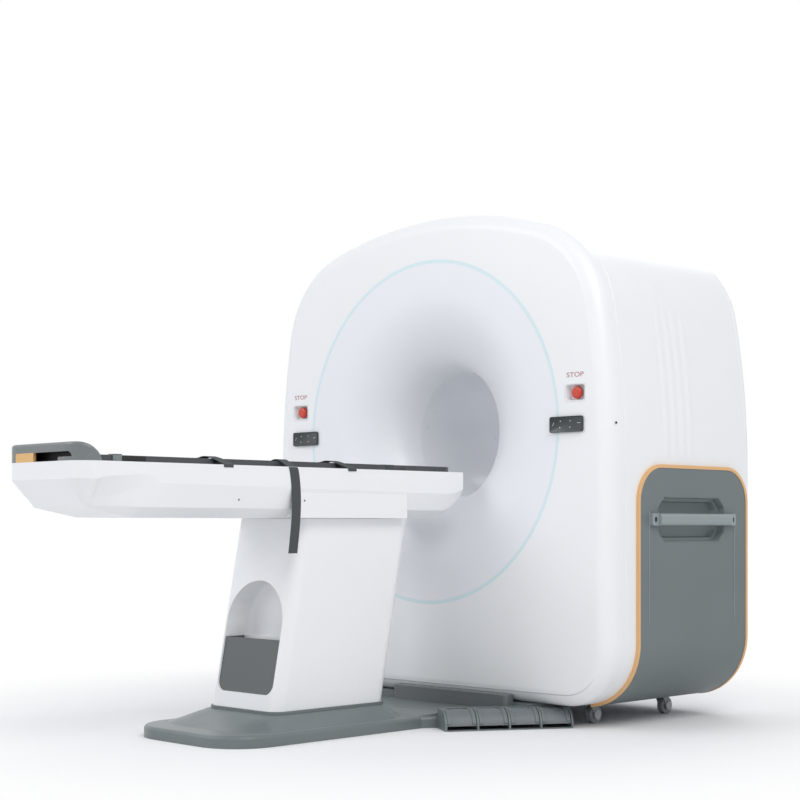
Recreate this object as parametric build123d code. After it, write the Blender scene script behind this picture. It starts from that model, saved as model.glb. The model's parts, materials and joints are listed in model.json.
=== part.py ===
"""A small CT scanner for animals: a gantry on casters, a leaning table column and a sliding table.

Millimetres. X is to the right, Y runs along the bore away from the table, Z is up. The origin is on
the floor, under the bore axis, in the plane of the gantry's flat front face.
"""
from build123d import *
import math
import os

os.makedirs("parts", exist_ok=True)

# Fits
run_gap = 0.3              # between pieces that move on each other
slide_gap = 1.0            # beside a pedal
slant_share = 0.7          # part of a wall's thickness taken across a slanted face

# Bore, its two trumpets and the light ring
bore_z = 994               # height of the bore's axis
bore_radius = 225
liner_wall = 4
flare_depth = 200          # how far the front trumpet reaches in
flare_width = 260          # how far it opens out beyond the bore
funnel_rim = 109           # the flat ring between the flare and the light
light_width = 12
light_depth = 9
rear_flare = 90
rear_rim = 20

# Gantry body
crown_rise = 756           # top of the arch above the bore's axis
face_margin = 206          # from the light ring to the side of the gantry
crown_radius = 1777        # the shallow arch of the top
shoulder_radius = 370
side_bow_radius = 2900     # the slight bow of the upper sides
side_bow_drop = 128        # the sides are upright from here down, below the bore's axis
foot_radius = 210          # lower corners
front_depth = 85           # front cover, from the flat face to its seam with the hood
hood_rear = 768            # seam between the hood and the rear cover
rear_depth = 32
front_round = 55           # soft edge round the front face
seam_bevel = 1.5           # on both sides of the seams between the shells
rear_round = 24
cover_wall = 5
hood_wall = 6

# Grooves in the hood's sides
groove_count = 5
groove_first_y = 285
groove_pitch = 45
groove_width = 9
groove_depth = 3
groove_rise = 406          # top of the grooves above the bore's axis

# Side panels with their trim, hand recess and bar
panel_front = 139
panel_corner = 125
panel_proud = 8
panel_wrap = 187           # how far the panel reaches in under the body
trim_width = 11
trim_proud = 10
recess_from_front = 105    # from the panel's front edge
recess_from_rear = 139     # from the seam with the rear cover
recess_drop = 106          # below the panel's top
recess_tall = 150
recess_corner = 34
recess_depth = 62
recess_wall = 3
window_margin = 16         # between the recess's pan and the opening for it in the hood
bar_overhang = 46.5        # how far the bar reaches past the recess
bar_height = 40
bar_depth = 26
bar_tab_depth = 15
bar_tab = 34               # length of the flat end that is bolted down

# Back of the machine
vent_count = 9
vent_pitch = 60
vent_width = 14
vent_low = 250
vent_high = 400
inlet_x = 420
inlet_low = 170
inlet_wide = 60
inlet_high = 50
inlet_deep = 34
inlet_rim = 12
inlet_well = 20

# Chassis and what turns inside
floor_plate = 6
beam = 60
beam_inside = 132          # from the edge of the flat underside to the middle of a beam
beam_set_back = 25         # from the seams to the first and the last beam
post_wide = 50
post_deep = 80
post_rise = 246            # top of the posts above the bore's axis
stator_thick = 40
stator_inner = 500
stator_ring = 75           # radial width of the stator's ring
stator_ear = 150           # half height of the ears that reach to the posts
stator_foot = 160          # half width of the foot
bearing_wide = 60
bearing_thick = 30
rotor_disc_y = 300
rotor_disc = 20
rotor_inside = 15          # how much smaller the rotor is than the stator's ring
rotor_bore_gap = 20        # between the bore's wall and the rotor
rotor_hub = 30
disc_gap = 80              # from the rotor's disc to the stator
tube_radius = 68
tube_place = 485           # from the bore axis to the tube's own axis
tube_long = 150
tube_cap = 18              # length of the cooler on the tube's end
tube_cap_step = 12
detector_inner = 455
detector_thick = 60
detector_long = 110
detector_angle = 56
tank_inner = 340
tank_deep = 150
tank_wide = 210
tank_long = 100
tank_chamfer = 10
collimator_wide = 130
collimator_deep = 44
collimator_long = 90
collimator_wall = 20
slip_thick = 22
slip_inside = 15           # how far the slip ring lies inside the hub's edge
slip_hole_gap = 10
brush_wide = 70
brush_thick = 40
brush_lap = 15             # how far the brushes reach up beside the track
pulley_radius = 45
belt_reach = 75            # from the rotor's rim to the pulley's
pulley_angle = 230         # degrees from +X, seen from the front
pulley_wide = 24
shaft_radius = 11
belt_thick = 4
belt_inset = 2             # the belt is this much narrower than the disc on each side
motor_radius = 52
motor_long = 150
shaft_in_motor = 30
shelf_thick = 10

# Controls on the front face
keypad_out = 39            # from the light ring to the keypad's middle
keypad_wide = 136
keypad_high = 52
keypad_thick = 9
keypad_corner = 8
keypad_edge = 2
stop_out = 72              # from the light ring to the stop button
stop_rise = 102            # above the bore's axis
bezel_wide = 83
bezel_high = 56
bezel_lip = 5
bezel_corner = 6
bezel_deep = 22
bezel_thick = 26
button_radius = 20
button_round = 7
button_stem = 12
button_sunk = 2            # how far the button's crown lies behind the face
button_head = 13
button_stem_end = 44       # how far the stem reaches behind the face

# Casters
caster_inside = 22         # from the edge of the flat underside
caster_from_front = 108    # from the seam with the front cover
caster_from_rear = 173     # from the seam with the rear cover
wheel_radius = 30
wheel_wide = 24
wheel_round = 4
wheel_rim = 9
wheel_dish = 1.5
wheel_hub = 6
caster_trail = 17
fork_wall = 4
fork_side_gap = 1.2
fork_crown = 10.5
fork_front = 13            # the fork's hood in front of the swivel
fork_rear = 14
fork_lip = 12
fork_ear_high = 8
fork_ear = 9               # how far the fork reaches below the axle
rivet_head = 1.5
stem_radius = 7
stem_boss = 18             # radius and height of the swivel's socket in the chassis
stem_long = 16
axle_radius = 5

# Base on the floor
base_half_width = 270
base_nose = 252            # how far it reaches in front of the column
base_nose_radius = 150
base_edge = 38             # height of the side wall
base_round = 12            # soft edge on top of that wall
base_flat = 48             # height of the flat between the column and the gantry
base_rise = 70             # length of the step up to that flat
base_shoulder = 18         # how far the flat lies inside the outline
flare_start_y = -300
flare_end_y = 76
cross_inside = 97          # from the edge of the gantry's flat underside to the base's rear end
cross_rear_y = 150
cross_front_y = 5
collar_rise = 39           # above the base's flat
collar_margin = 16
collar_step = 10
collar_skirt = 57          # reach of the slope behind the column
collar_skirt_front = 166
dock_left = -140
dock_right = 400
dock_front_y = -30
dock_round = 16
dock_chamfer = 3
dock_gap = 4               # under the front cover's soft edge

# Foot pedals
pedal_count = 4
pedal_block_start = 54     # along the slanted edge of the base
pedal_block_long = 433
pedal_block_deep = 110
pedal_block_high = 66
shoulder_out = 38          # where the pedals' curve starts
bulge_out = 0.24           # fullness of that curve, as shares of its reach and height
bulge_up = 0.72
fin_thick = 6
pedal_floor = 4
pedal_wall = 5
pedal_drop = 4             # pedals lie this far inside the fins
pedal_tip_z = 16
pedal_inner = 2            # how far its plate stays inside the curve's two ends
knuckle_radius = 5
knuckle_out = 14
knuckle_drop = 11          # below the block's top

# Column
column_half_width = 167
column_front_y = -840
column_lean = 117
column_round = 42
column_wall = 4
column_gap = 1             # under the table's floor
niche_half_width = 137
niche_low = 135
niche_high = 490
niche_corner = 34
niche_depth = 112
niche_wall = 3
pocket_top = 306
pocket_set_back = 7
pocket_wall = 3
lift_front_room = 126      # between the niche and the lift, at the collar
lift_outer_side = 160
lift_rear_room = 80
lift_tube_wall = 8
lift_below_top = 40        # the outer tube ends this far below the column's top
lift_low_end = 240
lift_plate = 10            # the plates that close the tubes' ends
lift_foot = 12

# Table
board_drop = 147           # the board's underside below the bore's axis
board_thick = 19
board_margin = 44.5        # from the board's edge to the table's side
board_dip = 8
board_corner = 45
board_gap = 3              # beside and above the board where it passes a wall
board_in_hood = 32         # how far the board's tail reaches under the hood
bore_clearance = 11
deck_gap = 4
deck_thick = 8
deck_in_hood = 60
runner_inside = 55.5       # from the board's edge to the middle of a runner
runner_wide = 12
runner_guide = 5
guide_high = 2.5
guide_short = 30           # guides and runners end this far before the table's head
table_head_y = -25
table_long = 1548
table_corner = 70          # the upright corners at the foot end
hull_deep = 158
foot_lip = 107             # lower edge of the foot end's upright band, above the hull's floor
bow_reach = 62             # how far the foot end slopes under
bow_slope = 1.26           # height lost for each millimetre of that reach
table_wall = 5
shoe_front = 47            # the shoe's reach in front of the column's top
shoe_rear = 51             # how far its rear wall lies inside the column's top
shoe_high = 79
hood_long = 80
hood_rise = 53             # above the rim
hood_crest = 66            # from the hood's mouth back to where the brow starts to fall
hood_brow = ((42, 5), (14, 26))    # points of the brow's curve, behind the mouth and below the top
hood_edge_round = 9
hood_wall_thick = 4
slot_left = -128           # the hand slot in the end face
slot_right = 155
slot_tall = 26
slot_deep = 38
slot_corner = 16
slot_wall = 2
tongue_left = 92           # the raised lip in the slot's right end
tongue_tall = 11
tongue_corner = 5
accent_right = -34         # the coloured block fills the slot from its left end to here
accent_deep = 9

# Straps
strap_thick = 2
strap_wide = 36
strap_tuck = 25
strap_places = (-1081, -591, -332)
hang_y = -797
hang_long = 269            # how far the loose end hangs below the table's rim
hang_lap = 40              # how far it lies on the board
hang_gap = 0.4

# Worked out from the sizes above
light_inner = bore_radius + flare_width + funnel_rim
light_outer = light_inner + light_width
light_radius = light_inner + light_width / 2
gantry_half_width = light_outer + face_margin
gantry_height = bore_z + crown_rise
gantry_bottom = 2 * wheel_radius + fork_side_gap + fork_crown + run_gap
gantry_rear = hood_rear + rear_depth
side_bow_start = bore_z - side_bow_drop
sole_x = gantry_half_width - foot_radius
liner_end = gantry_rear - rear_flare
panel_top = side_bow_start
recess_front = panel_front + recess_from_front
recess_rear = hood_rear - recess_from_rear
recess_high = panel_top - recess_drop
recess_low = recess_high - recess_tall
bar_z = (recess_low + recess_high) / 2
keypad_x = light_radius + keypad_out
stop_x = light_radius + stop_out
stop_z = bore_z + stop_rise
stator_y = rotor_disc_y + rotor_disc + disc_gap
stator_rear = stator_y + stator_thick
stator_outer = stator_inner + stator_ring
bearing_y = stator_y - (bearing_wide - stator_thick) / 2
bearing_rear = bearing_y + bearing_wide
rotor_rim = stator_outer - rotor_inside
rotor_hole = bore_radius + rotor_bore_gap
hub_outer = stator_inner - bearing_thick - run_gap
slip_outer = hub_outer - slip_inside
pulley_place = rotor_rim + belt_reach + pulley_radius
post_x = sole_x
beam_x = sole_x - beam_inside
caster_x = sole_x - caster_inside
caster_front_y = front_depth + caster_from_front
caster_rear_y = hood_rear - caster_from_rear
cross_half_width = sole_x - cross_inside
base_nose_y = column_front_y - base_nose
collar_top = base_flat + collar_rise
cover_edge = front_round - math.sqrt(front_round ** 2 - (front_round - cross_front_y) ** 2)
dock_top = gantry_bottom + cover_edge - dock_gap
pedal_pitch = (pedal_block_long - fin_thick) / pedal_count
flare_angle = math.degrees(math.atan2(flare_end_y - flare_start_y, cross_half_width - base_half_width))
knuckle_z = pedal_block_high - knuckle_drop
board_under = bore_z - board_drop
board_top = board_under + board_thick
board_half_width = math.sqrt((bore_radius - bore_clearance) ** 2 - board_drop ** 2)
runner_x = board_half_width - runner_inside
deck_top = board_under - deck_gap
table_half_width = board_half_width + board_margin
table_rim = board_under
table_floor = table_rim - hull_deep
table_foot_y = table_head_y - table_long
hood_head_y = table_foot_y + hood_long
hood_top = table_rim + hood_rise
deck_foot_y = hood_head_y - deck_in_hood
board_tail_y = hood_head_y - board_in_hood
column_top = table_floor - column_gap
column_long = niche_depth + lift_front_room + lift_outer_side + lift_rear_room
column_rear_y = column_front_y + column_long
lift_y = column_front_y + niche_depth + lift_front_room + lift_outer_side / 2
shoe_front_y = column_front_y + column_lean - shoe_front
shoe_rear_y = column_rear_y + column_lean - shoe_rear
shoe_top = table_floor + shoe_high


def box(x0, x1, y0, y1, z0, z1):
    """A block between two corners."""
    size = Box(abs(x1 - x0), abs(y1 - y0), abs(z1 - z0))
    return Pos((x0 + x1) / 2, (y0 + y1) / 2, (z0 + z1) / 2) * size


def rod_y(radius, x, z, y0, y1):
    """A round bar along Y."""
    return Pos(x, (y0 + y1) / 2, z) * Rot(90, 0, 0) * Cylinder(radius, abs(y1 - y0))


def ring_y(outer, inner, y0, y1):
    """A ring round the bore axis."""
    return rod_y(outer, 0, bore_z, y0, y1) - rod_y(inner, 0, bore_z, y0 - 1, y1 + 1)


def face_of(edges):
    """A flat face inside a closed run of edges."""
    return Face(Wire([part for item in edges for part in item.edges()]))


def mirror_x(shape):
    """The same piece on the other side of the machine."""
    return mirror(shape, about=Plane.YZ)


def arc_about(centre, start, end):
    """The short arc from start to end round a centre, all three given as (x, z) with a plane y."""
    y = start[1]
    middle_x = (start[0] + end[0]) / 2 - centre[0]
    middle_z = (start[2] + end[2]) / 2 - centre[1]
    reach = math.hypot(start[0] - centre[0], start[2] - centre[1]) / math.hypot(middle_x, middle_z)
    middle = (centre[0] + middle_x * reach, y, centre[1] + middle_z * reach)
    return ThreePointArc(start, middle, end)


def body_outline(y, grow=0):
    """The gantry's arched outline in the plane at y. grow moves it outwards all round.

    The crown, the shoulders and the bowed sides are arcs that meet without a corner, so the
    shoulder's centre is where two circles round the other two centres cross.
    """
    crown = (0, gantry_height - crown_radius)
    bow = (gantry_half_width - side_bow_radius, side_bow_start)
    from_crown = crown_radius - shoulder_radius
    from_bow = side_bow_radius - shoulder_radius
    dx = crown[0] - bow[0]
    dz = crown[1] - bow[1]
    apart = math.hypot(dx, dz)
    along = (apart ** 2 + from_bow ** 2 - from_crown ** 2) / (2 * apart)
    across = math.sqrt(from_bow ** 2 - along ** 2)
    shoulder = (bow[0] + (dx * along - dz * across) / apart, bow[1] + (dz * along + dx * across) / apart)

    def on_circle(centre, radius, towards):
        reach = math.hypot(towards[0] - centre[0], towards[1] - centre[1])
        scale = (radius + grow) / reach
        x = centre[0] + (towards[0] - centre[0]) * scale
        z = centre[1] + (towards[1] - centre[1]) * scale
        return (x, y, z)

    top = (0, y, gantry_height + grow)
    arch_end = on_circle(crown, crown_radius, shoulder)
    bow_top = on_circle(bow, side_bow_radius, shoulder)
    side_x = gantry_half_width + grow
    bow_low = (side_x, y, side_bow_start)
    foot = (gantry_half_width - foot_radius, gantry_bottom + foot_radius)
    foot_top = (side_x, y, foot[1])
    foot_low = (foot[0], y, gantry_bottom - grow)
    right = [
        arc_about(shoulder, arch_end, bow_top),
        arc_about(bow, bow_top, bow_low),
        Line(bow_low, foot_top),
        arc_about(foot, foot_top, foot_low),
    ]
    left = [mirror_x(edge) for edge in right]
    crown_arc = ThreePointArc((-arch_end[0], y, arch_end[2]), top, arch_end)
    sole = Line(foot_low, (-foot_low[0], y, foot_low[2]))
    return face_of([crown_arc, sole] + right + left)


def body_prism(y0, y1, grow=0):
    """The gantry's outline from y0 to y1."""
    return extrude(body_outline(y0, grow), amount=y1 - y0, dir=(0, 1, 0))


def edges_at_y(shape, y):
    """The edges that lie wholly in the plane at y."""
    return [e for e in shape.edges() if abs(e.bounding_box().min.Y - y) < 0.01
            and abs(e.bounding_box().max.Y - y) < 0.01]


def front_cover():
    """The flat-faced front shell with a soft edge all round and the round mouth in it."""
    skin = body_prism(0, front_depth)
    skin = fillet(edges_at_y(skin, 0), front_round)
    skin = chamfer(edges_at_y(skin, front_depth), seam_bevel)
    inside = body_prism(cover_wall, front_depth + 1, -cover_wall)
    inside = fillet(edges_at_y(inside, cover_wall), front_round - cover_wall)
    shell = skin - inside - rod_y(light_outer, 0, bore_z, -1, front_round)
    for side in (-1, 1):
        x = side * stop_x
        shell -= box(x - bezel_wide / 2, x + bezel_wide / 2, -1, front_round,
                     stop_z - bezel_high / 2, stop_z + bezel_high / 2)
    return shell


def trumpet(y_mouth, depth, width, rim, direction):
    """A flared ring: a flat rim at the mouth and a quarter of an ellipse down to the bore."""
    def profile(grow):
        mouth_y = y_mouth + direction * grow
        throat = (bore_radius + grow, y_mouth + direction * depth)
        lip = (bore_radius + width, mouth_y)
        half = math.sqrt(0.5)
        bend = (bore_radius + width - (width - grow) * half,
                y_mouth + direction * (depth - (depth - grow) * half))
        return throat, bend, lip

    inner = profile(0)
    outer = profile(liner_wall)
    rim_radius = bore_radius + width + rim

    def at(point):
        return (point[0], point[1], bore_z)

    edges = [
        Spline(at(inner[0]), at(inner[1]), at(inner[2]), tangents=[(0, -direction, 0), (1, 0, 0)]),
        Line(at(inner[2]), (rim_radius, inner[2][1], bore_z)),
        Line((rim_radius, inner[2][1], bore_z), (rim_radius, outer[2][1], bore_z)),
        Line((rim_radius, outer[2][1], bore_z), at(outer[2])),
        Spline(at(outer[2]), at(outer[1]), at(outer[0]), tangents=[(-1, 0, 0), (0, direction, 0)]),
        Line(at(outer[0]), at(inner[0])),
    ]
    return revolve(face_of(edges), axis=Axis((0, 0, bore_z), (0, 1, 0)))


def front_funnel():
    """The wide front trumpet, from the light ring down to the bore."""
    return trumpet(0, flare_depth, flare_width, funnel_rim, 1)


def rear_funnel():
    """The smaller trumpet at the back."""
    return trumpet(gantry_rear, rear_flare, rear_flare, rear_rim, -1)


def ring_light():
    """The thin light ring between the funnel and the front cover."""
    return ring_y(light_outer, light_inner, 0, light_depth)


def bore_liner():
    """The thin tube that the rays pass through."""
    return ring_y(bore_radius + liner_wall, bore_radius, flare_depth, liner_end)


def hood_shell():
    """The arched skin over the top and sides, curled in below, with five grooves on each side."""
    shell = body_prism(front_depth, hood_rear)
    shell = chamfer(edges_at_y(shell, front_depth) + edges_at_y(shell, hood_rear), seam_bevel)
    shell -= body_prism(front_depth - 1, hood_rear + 1, -hood_wall)
    shell -= box(-sole_x, sole_x, 0, gantry_rear, gantry_bottom - 1, gantry_bottom + hood_wall + 1)
    skin = body_prism(front_depth, hood_rear, 1) - body_prism(front_depth, hood_rear, -groove_depth)
    low = panel_top + trim_width
    for number in range(groove_count):
        y = groove_first_y + number * groove_pitch
        slab = box(-gantry_half_width - 1, gantry_half_width + 1, y - groove_width / 2,
                   y + groove_width / 2, low, bore_z + groove_rise)
        shell -= skin & slab
    low_x = gantry_half_width - recess_depth
    window = box(low_x, gantry_half_width + 1, recess_front - window_margin, recess_rear + window_margin,
                 recess_low - window_margin, recess_high + window_margin)
    return shell - window - mirror_x(window)


def hand_recess(grow):
    """The chamfered box of the hand recess on the right side, grown by its wall."""
    corner = recess_corner + grow * (2 - math.sqrt(2))
    y0 = recess_front - grow
    y1 = recess_rear + grow
    z0 = recess_low - grow
    z1 = recess_high + grow
    points = [(y0 + corner, z0), (y1 - corner, z0), (y1, z0 + corner), (y1, z1 - corner),
              (y1 - corner, z1), (y0 + corner, z1), (y0, z1 - corner), (y0, z0 + corner)]
    x = gantry_half_width + panel_proud - recess_depth - grow
    edges = Polyline([(x, py, pz) for py, pz in points], close=True)
    return extrude(face_of(edges.edges()), amount=recess_depth + grow, dir=(1, 0, 0))


def panel_mask(inset, low):
    """The panel's outline seen from the side, as a block through the whole right side."""
    y0 = panel_front + inset
    y1 = hood_rear - inset
    z1 = panel_top - inset
    corner = panel_corner - inset
    inner_x = gantry_half_width - panel_wrap
    shape = box(inner_x, gantry_half_width + 2 * trim_proud, y0, y1, low, z1)
    top = [e for e in shape.edges().filter_by(Axis.X) if e.center().Z > z1 - 1]
    return fillet(top, corner)


def side_panel():
    """The grey panel that wraps the lower side, with its hand recess moulded in."""
    wrap = body_prism(panel_front, hood_rear, panel_proud) - body_prism(panel_front, hood_rear)
    low = gantry_bottom - 2 * panel_proud
    panel = wrap & panel_mask(trim_width, low)
    pan = hand_recess(recess_wall) & box(0, gantry_half_width + panel_proud, 0, gantry_rear, 0, gantry_height)
    return panel + pan - hand_recess(0)


def panel_trim():
    """The coloured strip that frames the panel."""
    wrap = body_prism(panel_front, hood_rear, trim_proud) - body_prism(panel_front, hood_rear)
    low = gantry_bottom - 2 * trim_proud
    return wrap & (panel_mask(0, low) - panel_mask(trim_width, low - 1))


def grab_bar():
    """The bar across the hand recess: a rounded grip between two flat bolted ends."""
    x0 = gantry_half_width + panel_proud
    bar_front = recess_front - bar_overhang
    bar_rear = recess_rear + bar_overhang
    z0 = bar_z - bar_height / 2
    z1 = bar_z + bar_height / 2
    grip = box(x0, x0 + bar_depth, bar_front + bar_tab, bar_rear - bar_tab, z0, z1)
    grip = fillet(grip.edges().filter_by(Axis.Y), bar_depth / 2 - 1)
    tabs = box(x0, x0 + bar_tab_depth, bar_front, bar_rear, z0, z1)
    tabs = fillet(tabs.edges().filter_by(Axis.X), bar_height / 5)
    return grip + tabs


def rear_cover():
    """The back shell with a round mouth and a row of air slots low down."""
    skin = body_prism(hood_rear, gantry_rear)
    skin = fillet(edges_at_y(skin, gantry_rear), rear_round)
    skin = chamfer(edges_at_y(skin, hood_rear), seam_bevel)
    inside = body_prism(hood_rear - 1, gantry_rear - cover_wall, -cover_wall)
    inside = fillet(edges_at_y(inside, gantry_rear - cover_wall), rear_round - cover_wall)
    mouth = bore_radius + rear_flare + rear_rim
    shell = skin - inside - rod_y(mouth, 0, bore_z, hood_rear - 1, gantry_rear + 1)
    for number in range(vent_count):
        x = (number - (vent_count - 1) / 2) * vent_pitch
        shell -= box(x - vent_width / 2, x + vent_width / 2, hood_rear, gantry_rear + 1, vent_low, vent_high)
    return shell - inlet_box(0, hood_rear)


def inlet_box(inset, y0):
    """The mains inlet's outline as a block from y0 to the back of the machine."""
    half = inlet_wide / 2 - inset
    high = inlet_low + inlet_high - inset
    return box(inlet_x - half, inlet_x + half, y0, gantry_rear, inlet_low + inset, high)


def power_inlet():
    """The mains socket low in the rear cover."""
    return inlet_box(0, gantry_rear - inlet_deep) - inlet_box(inlet_rim, gantry_rear - inlet_well)


def chassis():
    """The welded frame: floor plate, four beams, two posts and the motor's shelf."""
    low = gantry_bottom + floor_plate
    frame = box(-sole_x, sole_x, front_depth, hood_rear, gantry_bottom, low)
    beam_front = front_depth + beam_set_back
    beam_rear = hood_rear - beam_set_back
    for side in (-1, 1):
        x = side * beam_x
        frame += box(x - beam / 2, x + beam / 2, beam_front, beam_rear, low, low + beam)
        px = side * post_x
        frame += box(px - post_wide / 2, px + post_wide / 2, stator_rear,
                     stator_rear + post_deep, low + beam, bore_z + post_rise)
    for y in (beam_front, stator_rear, beam_rear - beam):
        frame += box(-sole_x, sole_x, y, y + beam, low, low + beam)
    x, z = pulley_centre()
    frame += box(-post_x, x + motor_radius, stator_rear, stator_rear + post_deep,
                 z - motor_radius - shelf_thick, z - motor_radius)
    for cx, cy in caster_places():
        frame += Pos(cx, cy, low + stem_boss / 2) * Cylinder(stem_boss, stem_boss)
        frame -= Pos(cx, cy, low) * Cylinder(stem_radius + run_gap, 4 * stem_boss)
    return frame


def stator_frame():
    """The fixed ring that carries the bearing, with ears to the posts and a foot on the beam."""
    ring = ring_y(stator_outer, stator_inner, stator_y, stator_rear)
    ear = post_x + post_wide / 2
    bar = box(-ear, ear, stator_y, stator_rear, bore_z - stator_ear, bore_z + stator_ear)
    foot = box(-stator_foot, stator_foot, stator_y, stator_rear, gantry_bottom + floor_plate,
               bore_z - stator_inner)
    hole = rod_y(stator_inner, 0, bore_z, stator_y - 1, stator_rear + 1)
    return ring + (bar + foot - hole)


def bearing_outer():
    """The bearing's fixed ring, let into the stator frame."""
    return ring_y(stator_inner, stator_inner - bearing_thick, bearing_y, bearing_rear)


def rotor_drum():
    """The turning disc with its hub, which runs in the bearing ring."""
    disc = ring_y(rotor_rim, rotor_hole, rotor_disc_y, rotor_disc_y + rotor_disc)
    hub = ring_y(hub_outer, hub_outer - rotor_hub, rotor_disc_y + rotor_disc, bearing_rear)
    return disc + hub


def slip_ring():
    """The disc behind the hub that takes power across to the rotor."""
    return ring_y(slip_outer, rotor_hole + slip_hole_gap, bearing_rear, bearing_rear + slip_thick)


def brush_block():
    """The fixed brushes that touch the slip ring's edge, on an arm from the stator frame."""
    low = bore_z - slip_outer - run_gap - brush_wide
    start = bearing_rear + run_gap
    track = rod_y(slip_outer + run_gap, 0, bore_z, stator_y, start + 2 * brush_thick)
    high = bore_z - slip_outer + brush_lap
    block = box(-brush_wide, brush_wide, start, start + brush_thick, low, high) - track
    arm = box(-brush_wide, brush_wide, stator_rear, start, low, bore_z - stator_inner)
    return block + arm


def xray_tube():
    """The ray tube's housing at the top of the rotor, with a cooler on its end."""
    z = bore_z + tube_place
    y0 = rotor_disc_y - tube_long
    body = rod_y(tube_radius, 0, z, y0, rotor_disc_y)
    end = rod_y(tube_radius - tube_cap_step, 0, z, y0 - tube_cap, y0)
    return body + end


def collimator():
    """The jaws under the tube that shape the beam."""
    z = bore_z + tube_place - tube_radius
    half = collimator_wide / 2
    seat = z + tube_radius / 2
    y0 = rotor_disc_y - collimator_long
    block = box(-half, half, y0, rotor_disc_y, z - collimator_deep, seat)
    slot = box(-half + collimator_wall, half - collimator_wall, y0 + collimator_wall,
               rotor_disc_y - collimator_wall, z - collimator_deep - 1, seat)
    return block - slot - rod_y(tube_radius, 0, bore_z + tube_place, 0, gantry_rear)


def detector_arc():
    """The curved detector across the bore from the tube."""
    y0 = rotor_disc_y - detector_long
    low = bore_z - detector_inner - detector_thick
    high = bore_z - detector_inner
    section = Polyline([(0, y0, low), (0, rotor_disc_y, low), (0, rotor_disc_y, high), (0, y0, high)],
                       close=True)
    axis = Axis((0, 0, bore_z), (0, 1, 0))
    arc = revolve(face_of([section]), axis=axis, revolution_arc=detector_angle)
    return arc.rotate(axis, -detector_angle / 2)


def hv_tanks():
    """The two high-voltage tanks, one each side of the rotor so that it is balanced."""
    block = box(tank_inner, tank_inner + tank_deep, rotor_disc_y - tank_long, rotor_disc_y,
                bore_z - tank_wide / 2, bore_z + tank_wide / 2)
    tank = chamfer(block.edges().filter_by(Axis.Z), tank_chamfer)
    return both_sides(tank)


def pulley_centre():
    """Where the drive pulley's axis stands, as (x, z)."""
    turn = math.radians(pulley_angle)
    return (pulley_place * math.cos(turn), bore_z + pulley_place * math.sin(turn))


def drive_pulley():
    """The small pulley on the motor's shaft, beside the rotor disc."""
    x, z = pulley_centre()
    middle = rotor_disc_y + rotor_disc / 2
    wheel = rod_y(pulley_radius, x, z, middle - pulley_wide / 2, middle + pulley_wide / 2)
    return wheel + rod_y(shaft_radius, x, z, middle, stator_rear + shaft_in_motor)


def drive_belt():
    """The flat belt round the rotor disc and the pulley."""
    low = rotor_disc_y + belt_inset
    high = rotor_disc_y + rotor_disc - belt_inset
    outer = extrude(belt_outline(low, run_gap + belt_thick), amount=high - low, dir=(0, 1, 0))
    return outer - extrude(belt_outline(low, run_gap), amount=high - low, dir=(0, 1, 0))


def belt_outline(y, grow):
    """The tight outline round the rotor disc and the pulley, in the plane at y."""
    x, z = pulley_centre()
    big = rotor_rim + grow
    small = pulley_radius + grow
    apart = math.hypot(x, z - bore_z)
    towards = math.atan2(z - bore_z, x)
    lean = math.acos((big - small) / apart)

    def at(cx, cz, radius, angle):
        return (cx + radius * math.cos(angle), y, cz + radius * math.sin(angle))

    big_low = at(0, bore_z, big, towards - lean)
    big_high = at(0, bore_z, big, towards + lean)
    small_low = at(x, z, small, towards - lean)
    small_high = at(x, z, small, towards + lean)
    return face_of([
        ThreePointArc(big_low, at(0, bore_z, big, towards + math.pi), big_high),
        Line(big_high, small_high),
        ThreePointArc(small_high, at(x, z, small, towards), small_low),
        Line(small_low, big_low),
    ])


def drive_motor():
    """The motor that stands on the chassis shelf behind the pulley."""
    x, z = pulley_centre()
    y0 = stator_rear
    body = rod_y(motor_radius, x, z, y0, y0 + motor_long)
    body += box(x - motor_radius, x + motor_radius, y0, y0 + post_deep, z - motor_radius, z)
    return body - rod_y(shaft_radius + run_gap, x, z, y0 - 1, y0 + shaft_in_motor + run_gap)


def control_panel():
    """The flat touch keypad on the front face."""
    pad = box(keypad_x - keypad_wide / 2, keypad_x + keypad_wide / 2, -keypad_thick, 0,
              bore_z - keypad_high / 2, bore_z + keypad_high / 2)
    pad = fillet(pad.edges().filter_by(Axis.Y), keypad_corner)
    return fillet(edges_at_y(pad, -keypad_thick), keypad_edge)


def stop_bezel():
    """The deep square cup round the stop button."""
    x0 = stop_x - bezel_wide / 2
    x1 = stop_x + bezel_wide / 2
    z0 = stop_z - bezel_high / 2
    z1 = stop_z + bezel_high / 2
    plate = box(x0, x1, 0, bezel_thick, z0, z1)
    dish = box(x0 + bezel_lip, x1 - bezel_lip, -1, bezel_deep, z0 + bezel_lip, z1 - bezel_lip)
    dish = fillet(dish.edges().filter_by(Axis.Y), bezel_corner)
    return plate - dish - rod_y(button_stem + run_gap, stop_x, stop_z, 0, bezel_thick + 1)


def stop_button():
    """The red mushroom button on its round stem."""
    back = button_sunk + button_head
    head = rod_y(button_radius, stop_x, stop_z, button_sunk, back)
    head = fillet(edges_at_y(head, button_sunk), button_round)
    return head + rod_y(button_stem, stop_x, stop_z, back, button_stem_end)


def caster_places():
    """The four swivel axes, as (x, y)."""
    return [(side * caster_x, y) for side in (1, -1) for y in (caster_front_y, caster_rear_y)]


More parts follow.
